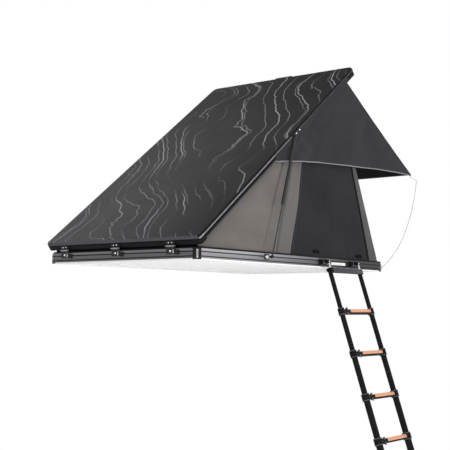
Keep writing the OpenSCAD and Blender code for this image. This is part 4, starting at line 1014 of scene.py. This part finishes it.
def rear_cloth():
    """The rear wall and the panel over its window, with a zip round three sides and a sill."""
    work = Builder()
    half = REAR_NORMAL * CLOTH_T / 2
    grid = [[rear_point(u, v) for v in steps(50)] for u in steps(90)]
    work.sheet(carry(grid, lambda p: p + half), carry(grid, lambda p: p - half))
    wall = work.piece("wall_rear_canvas", [wall_cloth], "base", "canvas", "wall_rear")
    close_with_lid(wall)

    work = Builder()
    inner = REAR_NORMAL * WINDOW_IN
    outer = REAR_NORMAL * WINDOW_OUT
    grid = [[rear_point(u, v) for v in steps(44, *WINDOW_V)] for u in steps(70, *WINDOW_U)]
    work.sheet(carry(grid, lambda p: p + outer), carry(grid, lambda p: p + inner))
    left, right = WINDOW_U
    low, top = WINDOW_V
    outline = [rear_point(left, v) for v in steps(30, low, WINDOW_ZIP_TOP)]
    outline += [rear_point(u, top) for u in steps(30, *WINDOW_ZIP_U)]
    outline += [rear_point(right, v) for v in steps(30, WINDOW_ZIP_TOP, low)]
    work.tube([p + REAR_NORMAL * WINDOW_ZIP_R for p in outline], WINDOW_ZIP_R, 1)
    work.tube([rear_point(u, low) + REAR_NORMAL * SILL_OFF for u in steps(30, left, right)], SILL_R, 1)
    window = work.piece("window_rear_panel", [door_cloth, zip_cloth], "base", "mesh", "window_panel_rear")
    close_with_lid(window)


rear_cloth()

FLAP_SLACK = 0.002
FLAP_T = 0.0012
FLAP_FOOT_IN = 0.002
FLAP_HEAD_OUT = 0.018
FLAP_END_GAP = 0.014


def hinge_flap():
    """Black weather flap behind the hinges, a little slack."""
    work = Builder()
    foot = Vector((BASE_X0 + SEAL_HINGE_IN + SEAL_W + FLAP_FOOT_IN, 0, WALL_FOOT_Z))
    head = lid_point(BASE_X0 + LID_RAIL_W - FLAP_HEAD_OUT, 0, LID_Z0 - FIT)
    half_y = (BASE_WID - 2 * RAIL_W - FLAP_END_GAP) / 2
    grid = []
    for y in steps(120, -half_y, half_y):
        row = []
        for v in steps(8):
            slack = FLAP_SLACK * math.sin(math.pi * v) * (1 + ripple(y, v * 0.05, seed=2.0, size=0.06))
            point = foot.lerp(head, v)
            row.append(Vector((point.x + slack, y, point.z)))
        grid.append(row)
    thick = Vector((FLAP_T, 0, 0))
    work.sheet(grid, carry(grid, lambda p: p + thick))
    piece = work.piece("hinge_weather_flap", [flap_cloth], "base", "coated_polyester", "hinge_flap")
    close_with_lid(piece)


hinge_flap()


# Awning

AWNING_LEN = 1.182
AWNING_PITCH = math.radians(29.5)
AWNING_EDGE = 0.008
AWNING_Y = LID_Y - AWNING_EDGE
AWNING_SAG = 0.010
AWNING_CREASE = 0.002
AWNING_ROOT = lid_point(KEDER_X, 0, LID_Z0 - CLOTH_T / 2 - FIT)
AWNING_DIR = Vector((math.cos(AWNING_PITCH), 0, -math.sin(AWNING_PITCH)))
AWNING_UP = Vector((math.sin(AWNING_PITCH), 0, math.cos(AWNING_PITCH)))
AWNING_TIP = AWNING_ROOT + AWNING_DIR * AWNING_LEN
AWNING_FINISHES = [awning_cloth, piping_cloth, flap_cloth]
AWNING_HEM_V = 0.004
AWNING_HEM_R = 0.0045
AWNING_ROLL_US = (0.0015, 0.9985)
AWNING_ROLL_R = 0.0046


def awning_point(u, v):
    """A point of the top sheet: u runs across it and v from its front hem to its root."""
    y = mix(-AWNING_Y, AWNING_Y, u)
    sag = AWNING_SAG * math.sin(math.pi * v) * (1 - 0.3 * math.cos(6 * math.pi * u))
    crease = AWNING_CREASE * ripple(y * 0.5, v * 1.2, seed=7.0, size=0.12) * math.sin(math.pi * v)
    spot = AWNING_ROOT + AWNING_DIR * AWNING_LEN * (1 - v)
    return Vector((spot.x, y, spot.z)) - AWNING_UP * (sag + crease)


def awning_top():
    """The top sheet with its piped front hem and a rolled edge along each side."""
    work = Builder()
    half = AWNING_UP * CLOTH_T / 2
    grid = [[awning_point(u, v) for v in steps(50)] for u in steps(110)]
    work.sheet(carry(grid, lambda p: p + half), carry(grid, lambda p: p - half), 0, 2)
    work.tube([awning_point(u, AWNING_HEM_V) for u in steps(110)], AWNING_HEM_R, 1)
    for u in AWNING_ROLL_US:
        work.tube([awning_point(u, v) for v in steps(60, 0.0, 0.99)], AWNING_ROLL_R)
    piece = work.piece("awning_top_sheet", AWNING_FINISHES, "awning", "coated_polyester", "awning_sheet")
    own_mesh(piece)


awning_top()

GUSSET_X = -0.144
EDGE_SAG = AWNING_SAG * 0.7
SIDE_DROP = 2 * CLOTH_T
SIDE_TUCK = 0.001
SIDE_END = 0.004
SIDE_START = lid_point(GUSSET_X, 0, LID_Z0 - FIT)
SIDE_PEAK = lid_point(KEDER_X, 0, LID_Z0 - FIT)
SIDE_SPAN = AWNING_TIP - SIDE_START
SPLIT = ((SIDE_PEAK.x - SIDE_START.x) * SIDE_SPAN.z - (SIDE_PEAK.z - SIDE_START.z) * SIDE_SPAN.x) / (
    AWNING_UP.x * SIDE_SPAN.z - AWNING_UP.z * SIDE_SPAN.x)
SIDE_SPLIT = SIDE_PEAK - AWNING_UP * SPLIT
SPLIT_SHARE = (SIDE_SPLIT - SIDE_START).length / SIDE_SPAN.length
HEM_RISE = 0.023
GUSSET_DRAG = 0.005
# The drag lines under the awning's peak: their middle, their spread and how fast they turn
DRAG_X = 0.05
DRAG_Z = 0.86
DRAG_SPREAD = 0.06
DRAG_TURNS = 48
GUSSET_CREASE = 0.004
PIPING_R = 0.0042


def gusset_grid(low0, low1, high0, high1, share0, share1, sag, side):
    """Points of one half of the awning's three-cornered side, with folds that grow towards its bowed hem."""
    grid = []
    for u in steps(70):
        row = []
        for v in steps(40):
            point = low0.lerp(low1, u).lerp(high0.lerp(high1, u), v)
            point.z += HEM_RISE * (1 - (2 * mix(share0, share1, u) - 1) ** 4) * (1 - v)
            point -= AWNING_UP * sag * math.sin(math.pi * u) * v
            x, z = point.x, point.z
            fold = FOLD_D * math.sin(6 * math.pi * u) * (1 - v)
            near_peak = math.exp(-((x - DRAG_X) ** 2 + (z - DRAG_Z) ** 2) / DRAG_SPREAD)
            drag = GUSSET_DRAG * math.sin((z * 0.9 + x * 0.6) * DRAG_TURNS) * near_peak
            crease = GUSSET_CREASE * ripple(x * 0.7 - z * 0.5, z * 0.35 + x * 0.5, seed=11.0, size=0.10)
            gather = min(1.0, 6 * v * (1 - v) + 0.15) * min(1.0, 8 * u * (1 - u) + 0.02)
            row.append(Vector((x, (-AWNING_Y + fold + (drag + crease) * gather) * side, z)))
        grid.append(row)
    return grid


def gusset_half(half, side, tag, corners, body):
    """One half of the awning's side, with piping along its hem."""
    work = Builder()
    grid = gusset_grid(*corners, side)
    thick = Vector((0, CLOTH_T / 2 * side, 0))
    work.sheet(carry(grid, lambda p: p - thick), carry(grid, lambda p: p + thick), 0, 2)
    work.tube([row[0] for row in grid], PIPING_R, 1)
    piece = work.piece(f"awning_side_{half}_{tag}", AWNING_FINISHES, body, "coated_polyester",
                       f"gusset_{half}_{tag}")
    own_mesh(piece)


def gussets(side, tag):
    """Both halves of one side: the back one stays with the lid and the front one folds with the awning."""
    edge = Vector((math.sin(OPEN_ANGLE), 0, -math.cos(OPEN_ANGLE))) * SIDE_END
    back = (SIDE_START + edge, SIDE_SPLIT, SIDE_START, SIDE_PEAK - AWNING_UP * SIDE_DROP, 0, SPLIT_SHARE, 0)
    gusset_half("back", side, tag, back, "lid")
    tuck = AWNING_UP * SIDE_TUCK
    front = (SIDE_SPLIT, AWNING_TIP - AWNING_UP * (SIDE_DROP + SIDE_END), SIDE_PEAK - tuck, AWNING_TIP - tuck,
             SPLIT_SHARE, 1, EDGE_SAG)
    gusset_half("front", side, tag, front, "awning")


for side, tag in SIDES:
    gussets(side, tag)

# Each binding's start and end, height, material number and thickness
LIP_STRIPS = ((GUSSET_X, KEDER_X + 0.02, 0.0385, 0, 0.0012), (LID_X0 + 0.06, -0.145, 0.013, 1, 0.0010))
LIP_GAP = 0.0002
LIP_PUFF = 0.0006
LIP_WAVE = 0.0003


def lip_cover(side, tag):
    """Cloth bound over the lower lip of the lid's side: dark along the awning, taupe towards the hinge."""
    work = Builder()
    for x0, x1, tall, slot, thick in LIP_STRIPS:
        front = []
        back = []
        for x in steps(120, x0, x1):
            outer_row = []
            inner_row = []
            for t in steps(6):
                z = mix(LID_Z0 + LIP_GAP, LID_Z0 + tall, t)
                puff = LIP_PUFF * math.sin(math.pi * t)
                wave = LIP_WAVE * ripple(x, z, seed=13.0, size=0.03)
                outer_row.append(lid_point(x, (-LID_Y - thick - puff - wave) * side, z))
                inner_row.append(lid_point(x, (-LID_Y - LIP_GAP) * side, z))
            front.append(outer_row)
            back.append(inner_row)
        work.sheet(front, back, slot)
    piece = work.piece(f"lid_lip_cover_{tag}", [awning_cloth, wall_edge], "lid", "coated_polyester")


for side, tag in SIDES:
    lip_cover(side, tag)


# Padding

QUILT_COUNTS = (190, 110)
QUILT_ROLL = 0.03
QUILT_EDGE = 0.35


def quilt(low, high, pitch, depth, crown, face_down):
    """Upper and lower grids of a foam panel with sewn channels: puffed squares on its main face and rounded
    edges."""
    mid = (low[2] + high[2]) / 2

    def surface(x, y, top):
        edge = min(x - low[0], high[0] - x, y - low[1], high[1] - y)
        roll = 1 - max(0.0, 1 - edge / QUILT_ROLL) ** 2
        way = 1 if top else -1
        reach = ((high[2] if top else low[2]) - mid) * way
        if top != face_down:
            seam_x = abs(math.sin(math.pi * (x - low[0]) / pitch))
            seam_y = abs(math.sin(math.pi * (y - low[1]) / pitch))
            puff = depth * (min(seam_x, seam_y) ** 0.5 - 1)
            dome = crown * math.sin(math.pi * (x - low[0]) / (high[0] - low[0])) ** 0.4
            dome *= math.sin(math.pi * (y - low[1]) / (high[1] - low[1])) ** 0.4
            reach = reach - crown + dome + puff
        return mid + way * reach * (QUILT_EDGE + (1 - QUILT_EDGE) * roll)

    xs = steps(QUILT_COUNTS[0], low[0], high[0])
    ys = steps(QUILT_COUNTS[1], low[1], high[1])
    return [[[Vector((x, y, surface(x, y, top))) for y in ys] for x in xs] for top in (True, False)]


def padding(name, grids, material, body, slot_name, node):
    work = Builder()
    work.sheet(*grids)
    piece = work.piece(name, [material], body, slot_name, node)


BED_GAP = 0.008
BED_LOW = 0.0283
BED_TOP = 0.0715
inner_x = BASE_LEN / 2 - RAIL_W - BED_GAP
inner_y = BASE_WID / 2 - RAIL_W - BED_GAP
bed = quilt((-inner_x, -inner_y, BED_LOW), (inner_x, inner_y, BED_TOP), pitch=0.19, depth=0.004, crown=0.008,
            face_down=False)
padding("mattress_quilted", bed, ticking_cloth, "base", "mattress_fabric", "mattress")
LINING_GAP = 0.0002
lid_in = LID_RAIL_W + FIT
lining = quilt((LID_X0 + lid_in, -LID_Y + lid_in, LINER_Z),
               (LID_X1 - lid_in, LID_Y - lid_in, LID_Z1 - SKIN_T - LINING_GAP), pitch=0.16, depth=0.003,
               crown=0.0, face_down=True)
lining = [carry(grid, lambda p: lid_point(*p)) for grid in lining]
padding("lid_lining_quilted", lining, lining_cloth, "lid", "quilted_lining", "lid_liner")


# Repeated small pieces, by geometry nodes

def geometry_tree(name, sizes):
    """A geometry tree with named inputs for its sizes, its input node and the inputs' identifiers."""
    tree = bpy.data.node_groups.new(name, "GeometryNodeTree")
    tree.interface.new_socket("Geometry", in_out="INPUT", socket_type="NodeSocketGeometry")
    names = {}
    for label, value in sizes.items():
        socket = tree.interface.new_socket(label, in_out="INPUT", socket_type="NodeSocketFloat")
        socket.default_value = value
        names[label] = socket.identifier
    tree.interface.new_socket("Geometry", in_out="OUTPUT", socket_type="NodeSocketGeometry")
    return tree, add(tree, "NodeGroupInput"), names


def on_points(tree, entry, shape, material):
    """Puts a shape on each point of the seed mesh, turned the way the point faces, as real geometry of one
    material."""
    points = add(tree, "GeometryNodeMeshToPoints", (entry.outputs["Geometry"],))
    facing = add(tree, "GeometryNodeInputNamedAttribute", {"Name": "facing"}, data_type="FLOAT_VECTOR")
    turn = add(tree, "FunctionNodeAlignRotationToVector", {"Vector": facing}, axis="Z")
    placed = add(tree, "GeometryNodeInstanceOnPoints",
                 {"Points": points, "Instance": shape, "Rotation": turn})
    real = add(tree, "GeometryNodeRealizeInstances", (placed,))
    return add(tree, "GeometryNodeSetMaterial", {"Geometry": real, "Material": material})


def grow(name, spots, recipe, sizes, body):
    """Runs a geometry tree on a mesh of loose points, each with the way it faces, and keeps the result as a
    plain piece."""
    tree, names = recipe
    seed_mesh = bpy.data.meshes.new(name)
    seed_mesh.from_pydata([tuple(p) for p, way in spots], [], [])
    facing = seed_mesh.attributes.new("facing", "FLOAT_VECTOR", "POINT")
    facing.data.foreach_set("vector", [c for p, way in spots for c in way])
    seed = bpy.data.objects.new(name + "_seed", seed_mesh)
    bpy.context.scene.collection.objects.link(seed)
    modifier = seed.modifiers.new("grow", "NODES")
    modifier.node_group = tree
    for label, value in sizes.items():
        modifier[names[label]] = value
    bpy.context.view_layer.update()
    evaluated = seed.evaluated_get(bpy.context.evaluated_depsgraph_get())
    mesh = bpy.data.meshes.new_from_object(evaluated)
    mesh.name = name
    seed.modifiers.remove(modifier)
    bpy.data.objects.remove(seed)
    piece = put_piece(name, mesh, body)
    return piece


HEAD_SIDES = 20
SOCKET_SIDES = 6
SOCKET_DEPTH = 0.0002
# Sizes of a screw's head as shares of its radius and height
SCREW_SHARES = (("waist", "Head radius", 0.78), ("crown", "Head radius", 0.62),
                ("socket", "Head radius", 0.42), ("lower", "Head height", 0.6), ("upper", "Head height", 0.4))


def screw_tree():
    """Pan head screws: a domed head with a hexagon socket on each point, turned the way the point faces."""
    tree, entry, names = geometry_tree("pan head screws", {"Head radius": 0.005, "Head height": 0.003})
    wide = entry.outputs["Head radius"]
    tall = entry.outputs["Head height"]
    part = {}
    for name, whole, share in SCREW_SHARES:
        part[name] = add(tree, MATHS, (entry.outputs[whole], share), operation="MULTIPLY")
    discs = []
    for sides, low_radius, top_radius, depth, height in (
            (HEAD_SIDES, part["waist"], part["crown"], part["upper"], part["lower"]),
            (HEAD_SIDES, wide, part["waist"], part["lower"], 0.0),
            (SOCKET_SIDES, part["socket"], part["socket"], SOCKET_DEPTH, tall)):
        disc = add(tree, "GeometryNodeMeshCone", {"Vertices": sides, "Radius Top": top_radius,
                                                  "Radius Bottom": low_radius, "Depth": depth})
        rise = add(tree, "ShaderNodeCombineXYZ", {2: height})
        discs.append(add(tree, "GeometryNodeTransform", {"Geometry": disc, "Translation": rise}))
    upper, lower, socket = discs
    head = add(tree, "GeometryNodeJoinGeometry", (upper,))
    tree.links.new(lower.outputs[0], head.inputs[0])
    both = add(tree, "GeometryNodeJoinGeometry", (on_points(tree, entry, socket, black_coat),))
    tree.links.new(on_points(tree, entry, head, bright_steel).outputs[0], both.inputs[0])
    add(tree, "NodeGroupOutput", {"Geometry": both})
    return tree, names


def bar_tree(name, sides, lying, material):
    """Slim bars on a row of points: each along the way its point faces, or lying across it."""
    tree, entry, names = geometry_tree(name, {"Bar length": 0.007, "Bar width": 0.0008})
    bar = add(tree, "GeometryNodeMeshCylinder", {"Vertices": sides, "Radius": entry.outputs["Bar width"],
                                                 "Depth": entry.outputs["Bar length"]})
    if lying:
        bar = add(tree, "GeometryNodeTransform", {"Geometry": bar, "Rotation": (0, math.pi / 2, 0)})
    add(tree, "NodeGroupOutput", {"Geometry": on_points(tree, entry, bar, material)})
    return tree, names


SCREWS = screw_tree()
RIBS = bar_tree("tread ribs", 8, True, copper_tread)
STITCHES = bar_tree("stitches", 5, False, thread_grey)


def screws(name, spots, radius, height, body):
    grow(name, spots, SCREWS, {"Head radius": radius, "Head height": height}, body)


# Hinges

LEAF_FACE = BASE_X0 - LEAF_T
HINGE_WAY = Vector((-1, 0, 0))
LID_HINGE_WAY = Matrix.Rotation(-OPEN_ANGLE, 3, "Y") @ HINGE_WAY
LEAF_SCREW_Y = 0.006
LEAF_SCREW_DROP = 0.014
LID_LEAF_SCREW_YS = (-0.013, 0.013)
LID_LEAF_SCREW_RISE = 0.0175
spots = [(Vector((LEAF_FACE, y + LEAF_SCREW_Y, BASE_H - LEAF_SCREW_DROP)), HINGE_WAY) for y in HINGE_YS]
screws("hinge_base_screws", spots, radius=0.0074, height=0.0036, body="base")
spots = [(lid_point(LID_X0 - LEAF_T, y + dy, HINGE_Z + LID_LEAF_SCREW_RISE), LID_HINGE_WAY)
         for y in HINGE_YS for dy in LID_LEAF_SCREW_YS]
screws("hinge_lid_screws", spots, radius=0.0052, height=0.0030, body="lid")

# A sleeve's radius at shares of its length, and where each sleeve starts and ends beside the hinge's middle
SLEEVE_PROFILE = ((0, 0.0058), (0.08, 0.0066), (0.30, 0.0066), (0.36, 0.0062), (0.64, 0.0062), (0.70, 0.0066),
                  (0.92, 0.0066), (1, 0.0058))
LID_SLEEVE = (-0.0165, 0.0165)
BASE_SLEEVES = ((-0.030, -0.0178), (0.0178, 0.030))
# A rib's depth at distances beside the hinge's middle
LEAF_RIB = ((-0.025, 0.0006), (-0.022, 0.0052), (-0.017, 0.0052), (-0.014, 0.0006))
# Its outline: shares of that depth, each at a drop below the tray's top
LEAF_RIB_OUTLINE = ((0.0, 0.005), (0.3, 0.004), (1.0, 0.024), (0.0, 0.028))
STOP_OUT = 0.010
STOP_YS = (-0.064, -0.037)
STOP_DROPS = (0.036, 0.006)
STOP_ROUND = 0.004


def sleeve(work, y, ends):
    rings = []
    for t, r in SLEEVE_PROFILE:
        along = mix(y + ends[0], y + ends[1], t)
        rings.append([Vector((HINGE_X + r * c, along, HINGE_Z + r * s)) for c, s in circle(24)])
    work.loft(rings)


def hinge_dress():
    """Bright ribbed sleeves on the hinge knuckles, a sloping rib beside each base leaf's screw, and a black
    stop block next to each leaf."""
    on_lid = Builder()
    on_base = Builder()
    blocks = Builder()
    for y in HINGE_YS:
        sleeve(on_lid, y, LID_SLEEVE)
        for ends in BASE_SLEEVES:
            sleeve(on_base, y, ends)
        rings = []
        for dy, deep in LEAF_RIB:
            rings.append([Vector((LEAF_FACE - deep * share, y + dy, BASE_H - drop))
                          for share, drop in LEAF_RIB_OUTLINE])
        on_base.loft(rings)
        blocks.loft(rounded_box((BASE_X0 - STOP_OUT, y + STOP_YS[0], BASE_H - STOP_DROPS[0]),
                                (BASE_X0, y + STOP_YS[1], BASE_H - STOP_DROPS[1]), STOP_ROUND))
    on_lid.piece("hinge_lid_sleeves", [satin_zinc], "lid", "zinc_steel")
    on_base.piece("hinge_base_sleeves", [satin_zinc], "base", "zinc_steel")
    blocks.piece("hinge_stop_blocks", [black_nylon], "base", "black_nylon")


hinge_dress()


# Screws and spacers of the struts, the ladder and the latches

STRUT_BASE_X = -0.421
STRUT_BASE_Z = 0.044
STRUT_LID_X = 0.135
STRUT_LID_Z = LID_Z1 - 0.023
STRUT_LID_SCREW_XS = (0.040, 0.090)
STRUT_BASE_SCREW_XS = (-0.016, 0.016)
STRUT_BASE_SCREW_Z = 0.046
LADDER_X = 0.505
STILE_X = 0.417 / 2
LADDER_SCREW_XS = (-0.012, 0.001)
LADDER_SCREW_SHIFT = 0.006
LADDER_SCREW_Z = 0.032
LATCH_Y = 0.330
LATCH_SCREW_YS = (-0.014, 0.014)
LATCH_SCREW_RISE = 0.0185
# A spacer's radius at distances out from its bracket
SPACER_PROFILE = ((0.0002, 0.0060), (0.0002, 0.0105), (0.0040, 0.0105), (0.0052, 0.0095), (0.0052, 0.0078),
                  (0.0130, 0.0072), (0.0130, 0.0060))

for side, tag in SIDES:
    way = Vector((0, -side, 0))
    spots = [(lid_point(STRUT_LID_X + dx, (-LID_Y - THIN_BRACKET_T) * side, STRUT_LID_Z), way)
             for dx in STRUT_LID_SCREW_XS]
    screws(f"strut_lid_screws_{tag}", spots, radius=0.0062, height=0.0034, body="lid")
    spots = [(Vector((STRUT_BASE_X + dx, (NEAR_Y - BRACKET_T) * side, STRUT_BASE_SCREW_Z)), way)
             for dx in STRUT_BASE_SCREW_XS]
    screws(f"strut_base_screws_{tag}", spots, radius=0.0048, height=0.003, body="base")
spots = [(Vector((LADDER_X + sign * STILE_X + dx - LADDER_SCREW_SHIFT, NEAR_Y - BRACKET_T, LADDER_SCREW_Z)),
          Vector((0, -1, 0))) for sign in (-1, 1) for dx in LADDER_SCREW_XS]
screws("ladder_bracket_screws", spots, radius=0.0045, height=0.003, body="base")
spots = [(lid_point(LID_X1 + THIN_BRACKET_T, sign * LATCH_Y + dy, LID_Z0 + LATCH_SCREW_RISE), -LID_HINGE_WAY)
         for sign in (-1, 1) for dy in LATCH_SCREW_YS]
screws("latch_keeper_screws", spots, radius=0.003, height=0.0018, body="lid")


def strut_spacers():
    """White shouldered spacers on the struts' base studs."""
    work = Builder()
    centre = Vector((STRUT_BASE_X, 0, STRUT_BASE_Z))
    face = NEAR_Y - BRACKET_T
    for side in (1, -1):
        rings = []
        for dy, r in SPACER_PROFILE:
            rings.append([centre + Vector((r * c, (face - dy) * side, r * s)) for c, s in circle(32)])
        work.loft(rings)
    work.piece("strut_spacers", [white_washer], "base", "white_fibreglass")


strut_spacers()


# Ladder dress

LADDER_Y = NEAR_Y - 0.027
LADDER_Z = 0.045
LADDER_LEAN = math.radians(18)
LADDER_TURN = Matrix.Rotation(-LADDER_LEAN, 3, "X")
FIRST_RUNG = 0.375
RUNG_PITCH = 0.308
LADDER_TAIL = 0.330
STILE_OD = 0.032
STILE_STEP = 0.0021
COLLAR_T = 0.006
COLLAR_UP = 0.022
HOUSING_LEN = 0.072
TREAD_GAP = 0.002
TREAD_HALF = 0.017 + 0.0012
TREAD_ROUND = 0.0055
TREAD_TOP = 0.0142
TREAD_LOW = -0.0095
TREAD_END = 0.003
TREAD_END_SHARE = 0.94
RIB_COUNT = 7
RIB_SPREAD = 0.0115
RIB_HEIGHT = 0.0140
RIB_SHORT = 0.016
RIB_R = 0.0011
# Rims and feet as steps out from the collar or the stile, each at a step down the ladder
RIM_PROFILE = ((-0.0005, -0.003), (0.0012, -0.0015), (0.0012, 0.0015), (-0.0005, 0.003))
RIM_STEPS = (0.0005, 0.0435)
FOOT_PROFILE = ((-0.004, 0.0), (0.001, 0.003), (0.0022, 0.012), (0.001, 0.0215), (-0.006, 0.0225))
FOOT_T = 0.004
PIVOT_PROFILE = ((-0.0103, 0.0085), (-0.0095, 0.0096), (0.0095, 0.0096), (0.0103, 0.0085))
STRAP_X = 0.018
STRAP_HALF = 0.0105
STRAP_T = 0.0035
STRAP_ZS = (-0.058, -0.004)
STRAP_ROUND = 0.0022
TAB_XS = (0.010, 0.030)
TAB_YS = (-0.0265, -0.0205)
TAB_HALF = 0.009
TAB_MIDDLE = 0.0035
TAB_SPREAD = 0.019
TAB_ROUND = 0.0025
FACING_LOW = (-STILE_X + 0.012, -0.0255, -0.0915)
FACING_HIGH = (STILE_X + 0.010, -0.0235, -0.0545)
FACING_ROUND = 0.0009
FACING_LINES = (0.061, 0.073, 0.085)
FACING_LINE_Y = -0.0256
FACING_LINE_IN = 0.004
FACING_LINE_R = 0.0009


def ladder_point(x, y, down):
    """A point of the ladder's own frame, with its distance down from the pivot."""
    return Vector((LADDER_X, LADDER_Y, LADDER_Z)) + LADDER_TURN @ Vector((x, y, -down))


def ladder_ring(x, radius, down):
    """A ring round a stile."""
    return [ladder_point(x + radius * c, radius * s, down) for c, s in circle(36)]


def ladder_box(work, low, high, radius, down=0.0):
    """A box with rounded edges in the ladder's own frame."""
    work.loft(carry(rounded_box(low, high, radius), lambda p: ladder_point(p.x, p.y, down - p.z)))


def rung_down(k):
    return FIRST_RUNG + RUNG_PITCH * (k - 1)


def tube_od(k):
    return STILE_OD + 2 * k * STILE_STEP


def tread_section():
    """Outline of a tread across the rung, from one foot over the top to the other."""
    reach = TREAD_HALF - TREAD_ROUND
    rise = TREAD_TOP - TREAD_ROUND
    half = [(reach + TREAD_ROUND * math.cos(turn), rise + TREAD_ROUND * math.sin(turn))
            for turn in steps(6, 0.0, math.pi / 2)]
    other = [(-y, z) for y, z in reversed(half)]
    return [(TREAD_HALF, TREAD_LOW), *half, *other, (-TREAD_HALF, TREAD_LOW)]


def ladder_dress(k):
    """Tread, ribs, release tabs and collar rims of one sliding section."""
    down = rung_down(k)
    body = f"ladder_section_{k}"
    collar = tube_od(k) / 2 + COLLAR_T
    left = -STILE_X + collar + HOUSING_LEN + TREAD_GAP
    right = STILE_X - collar - TREAD_GAP
    work = Builder()
    rings = []
    for x, share in ((left, TREAD_END_SHARE), (left + TREAD_END, 1.0), (right - TREAD_END, 1.0),
                     (right, TREAD_END_SHARE)):
        rings.append([ladder_point(x, y * share, down - z * share) for y, z in tread_section()])
    work.loft(rings)
    work.piece(f"tread_{k}", [copper_tread], body, "anodised_aluminium")

    up = LADDER_TURN @ Vector((0, 0, 1))
    spots = [(ladder_point((left + right) / 2, y, down - RIB_HEIGHT), up)
             for y in steps(RIB_COUNT - 1, -RIB_SPREAD, RIB_SPREAD)]
    grow(f"tread_ribs_{k}", spots, RIBS, {"Bar length": right - left - RIB_SHORT, "Bar width": RIB_R}, body)

    work = Builder()
    for sign in (-1, 1):
        low = (-STILE_X + collar + TAB_XS[0], TAB_YS[0], -TAB_HALF)
        high = (-STILE_X + collar + TAB_XS[1], TAB_YS[1], TAB_HALF)
        middle = TAB_MIDDLE + sign * TAB_SPREAD
        ladder_box(work, low, high, TAB_ROUND, down + middle)
    for sign in (-1, 1):
        for step in RIM_STEPS:
            rings = [ladder_ring(sign * STILE_X, collar + out, down - COLLAR_UP + step + dz)
                     for out, dz in RIM_PROFILE]
            work.loft([*rings, rings[0]], closed_ends=False)
    work.piece(f"release_tabs_{k}", [release_grey], body, "black_nylon", merge=True)


for section in range(1, SECTION_COUNT + 1):
    ladder_dress(section)


def ladder_top_dress():
    """Bright straps on the pivots, a grey facing on the cross plate, and the rubber feet."""
    work = Builder()
    for sign in (-1, 1):
        x = sign * STILE_X + STRAP_X
        low = (x - STRAP_HALF, -STRAP_T, STRAP_ZS[0])
        high = (x + STRAP_HALF, STRAP_T, STRAP_ZS[1])
        ladder_box(work, low, high, STRAP_ROUND)
        work.loft([[ladder_point(x + dx, r * c, -r * s) for c, s in circle(28)] for dx, r in PIVOT_PROFILE])
    work.piece("ladder_straps", [bright_steel], "ladder_top", "zinc_steel")

    work = Builder()
    ladder_box(work, FACING_LOW, FACING_HIGH, FACING_ROUND)
    for line in FACING_LINES:
        along = steps(8, FACING_LOW[0] + FACING_LINE_IN, FACING_HIGH[0] - FACING_LINE_IN)
        work.tube([ladder_point(x, FACING_LINE_Y, line) for x in along], FACING_LINE_R)
    work.piece("ladder_plate_facing", [ladder_plate], "ladder_top", "black_nylon")

    work = Builder()
    foot = tube_od(SECTION_COUNT) / 2 + FOOT_T
    end = rung_down(SECTION_COUNT) + LADDER_TAIL
    for sign in (-1, 1):
        work.loft([ladder_ring(sign * STILE_X, foot + out, end + d) for out, d in FOOT_PROFILE])
    work.piece("ladder_feet", [seal_rubber], f"ladder_section_{SECTION_COUNT}", "seal_rubber")


ladder_top_dress()


# Trim on the base

PLATE_LOW = (0.392, -0.0022, 0.0235)
PLATE_HIGH = (0.588, 0.0, 0.0435)
PLATE_ROUND = 0.0009


def side_plate():
    """Bare pale plate on the base rail between the ladder's brackets."""
    work = Builder()
    rings = rounded_box(PLATE_LOW, PLATE_HIGH, PLATE_ROUND)
    work.loft(carry(rings, lambda p: Vector((p.x, NEAR_Y + p.y, p.z))))
    work.piece("base_bare_plate", [pale_plate], "base", "white_fibreglass")


side_plate()

CORNER_R = 0.009
TRIM_R = 0.0092
TRIM_INNER_R = 0.0088
# Heights up a trim and how far it stands out there
TRIM_PROFILE = ((0.0075, 0.0), (0.009, 0.0007), (0.059, 0.0007), (0.0605, 0.0))


def corner_trims():
    """Bright rounded edges on the base's black corner castings."""
    work = Builder()
    turns = steps(8, 0.0, math.pi / 2)
    for sx in (-1, 1):
        for sy in (-1, 1):
            cx = sx * (BASE_LEN / 2 - CORNER_R)
            cy = sy * (BASE_WID / 2 - CORNER_R)
            rings = []
            for z, proud in TRIM_PROFILE:
                arc = [(TRIM_R + proud, turn) for turn in turns]
                arc += [(TRIM_INNER_R, turn) for turn in reversed(turns)]
                rings.append([Vector((cx + sx * r * math.cos(turn), cy + sy * r * math.sin(turn), z))
                              for r, turn in arc])
            work.loft(rings)
    work.piece("corner_bright_edges", [satin_zinc], "base", "zinc_steel")


corner_trims()


# Stitches along the side walls' seams

STITCH_PITCH = 0.011
STITCH_LEN = 0.007
STITCH_R = 0.0007
# Each seam's edge, its shift along the wall and how far it stands off it
SEAMS = ((STRIP_LEFT, 0.005, 0.0036), (DOOR_LEFT, 0.007, 0.0045), (REAR_SEAM, 0, 0.0030))


def stitch_line(path):
    """Evenly spaced points along a path, each facing along it."""
    spots = []
    left = 0.0
    for a, b in zip(path, path[1:]):
        leg = b - a
        length = leg.length
        way = leg.normalized()
        while left < length:
            spots.append((a + way * left, way))
            left += STITCH_PITCH
        left -= length
    return spots


for side, tag in SIDES:
    spots = []
    for edge, shift, lift in SEAMS:
        spots += stitch_line(edge_path(edge, shift, SEAM_HEIGHTS, lift, side, 200))
    sizes = {"Bar length": STITCH_LEN, "Bar width": STITCH_R}
    thread = grow(f"wall_stitches_{tag}", spots, STITCHES, sizes, "base")
    close_with_lid(thread)
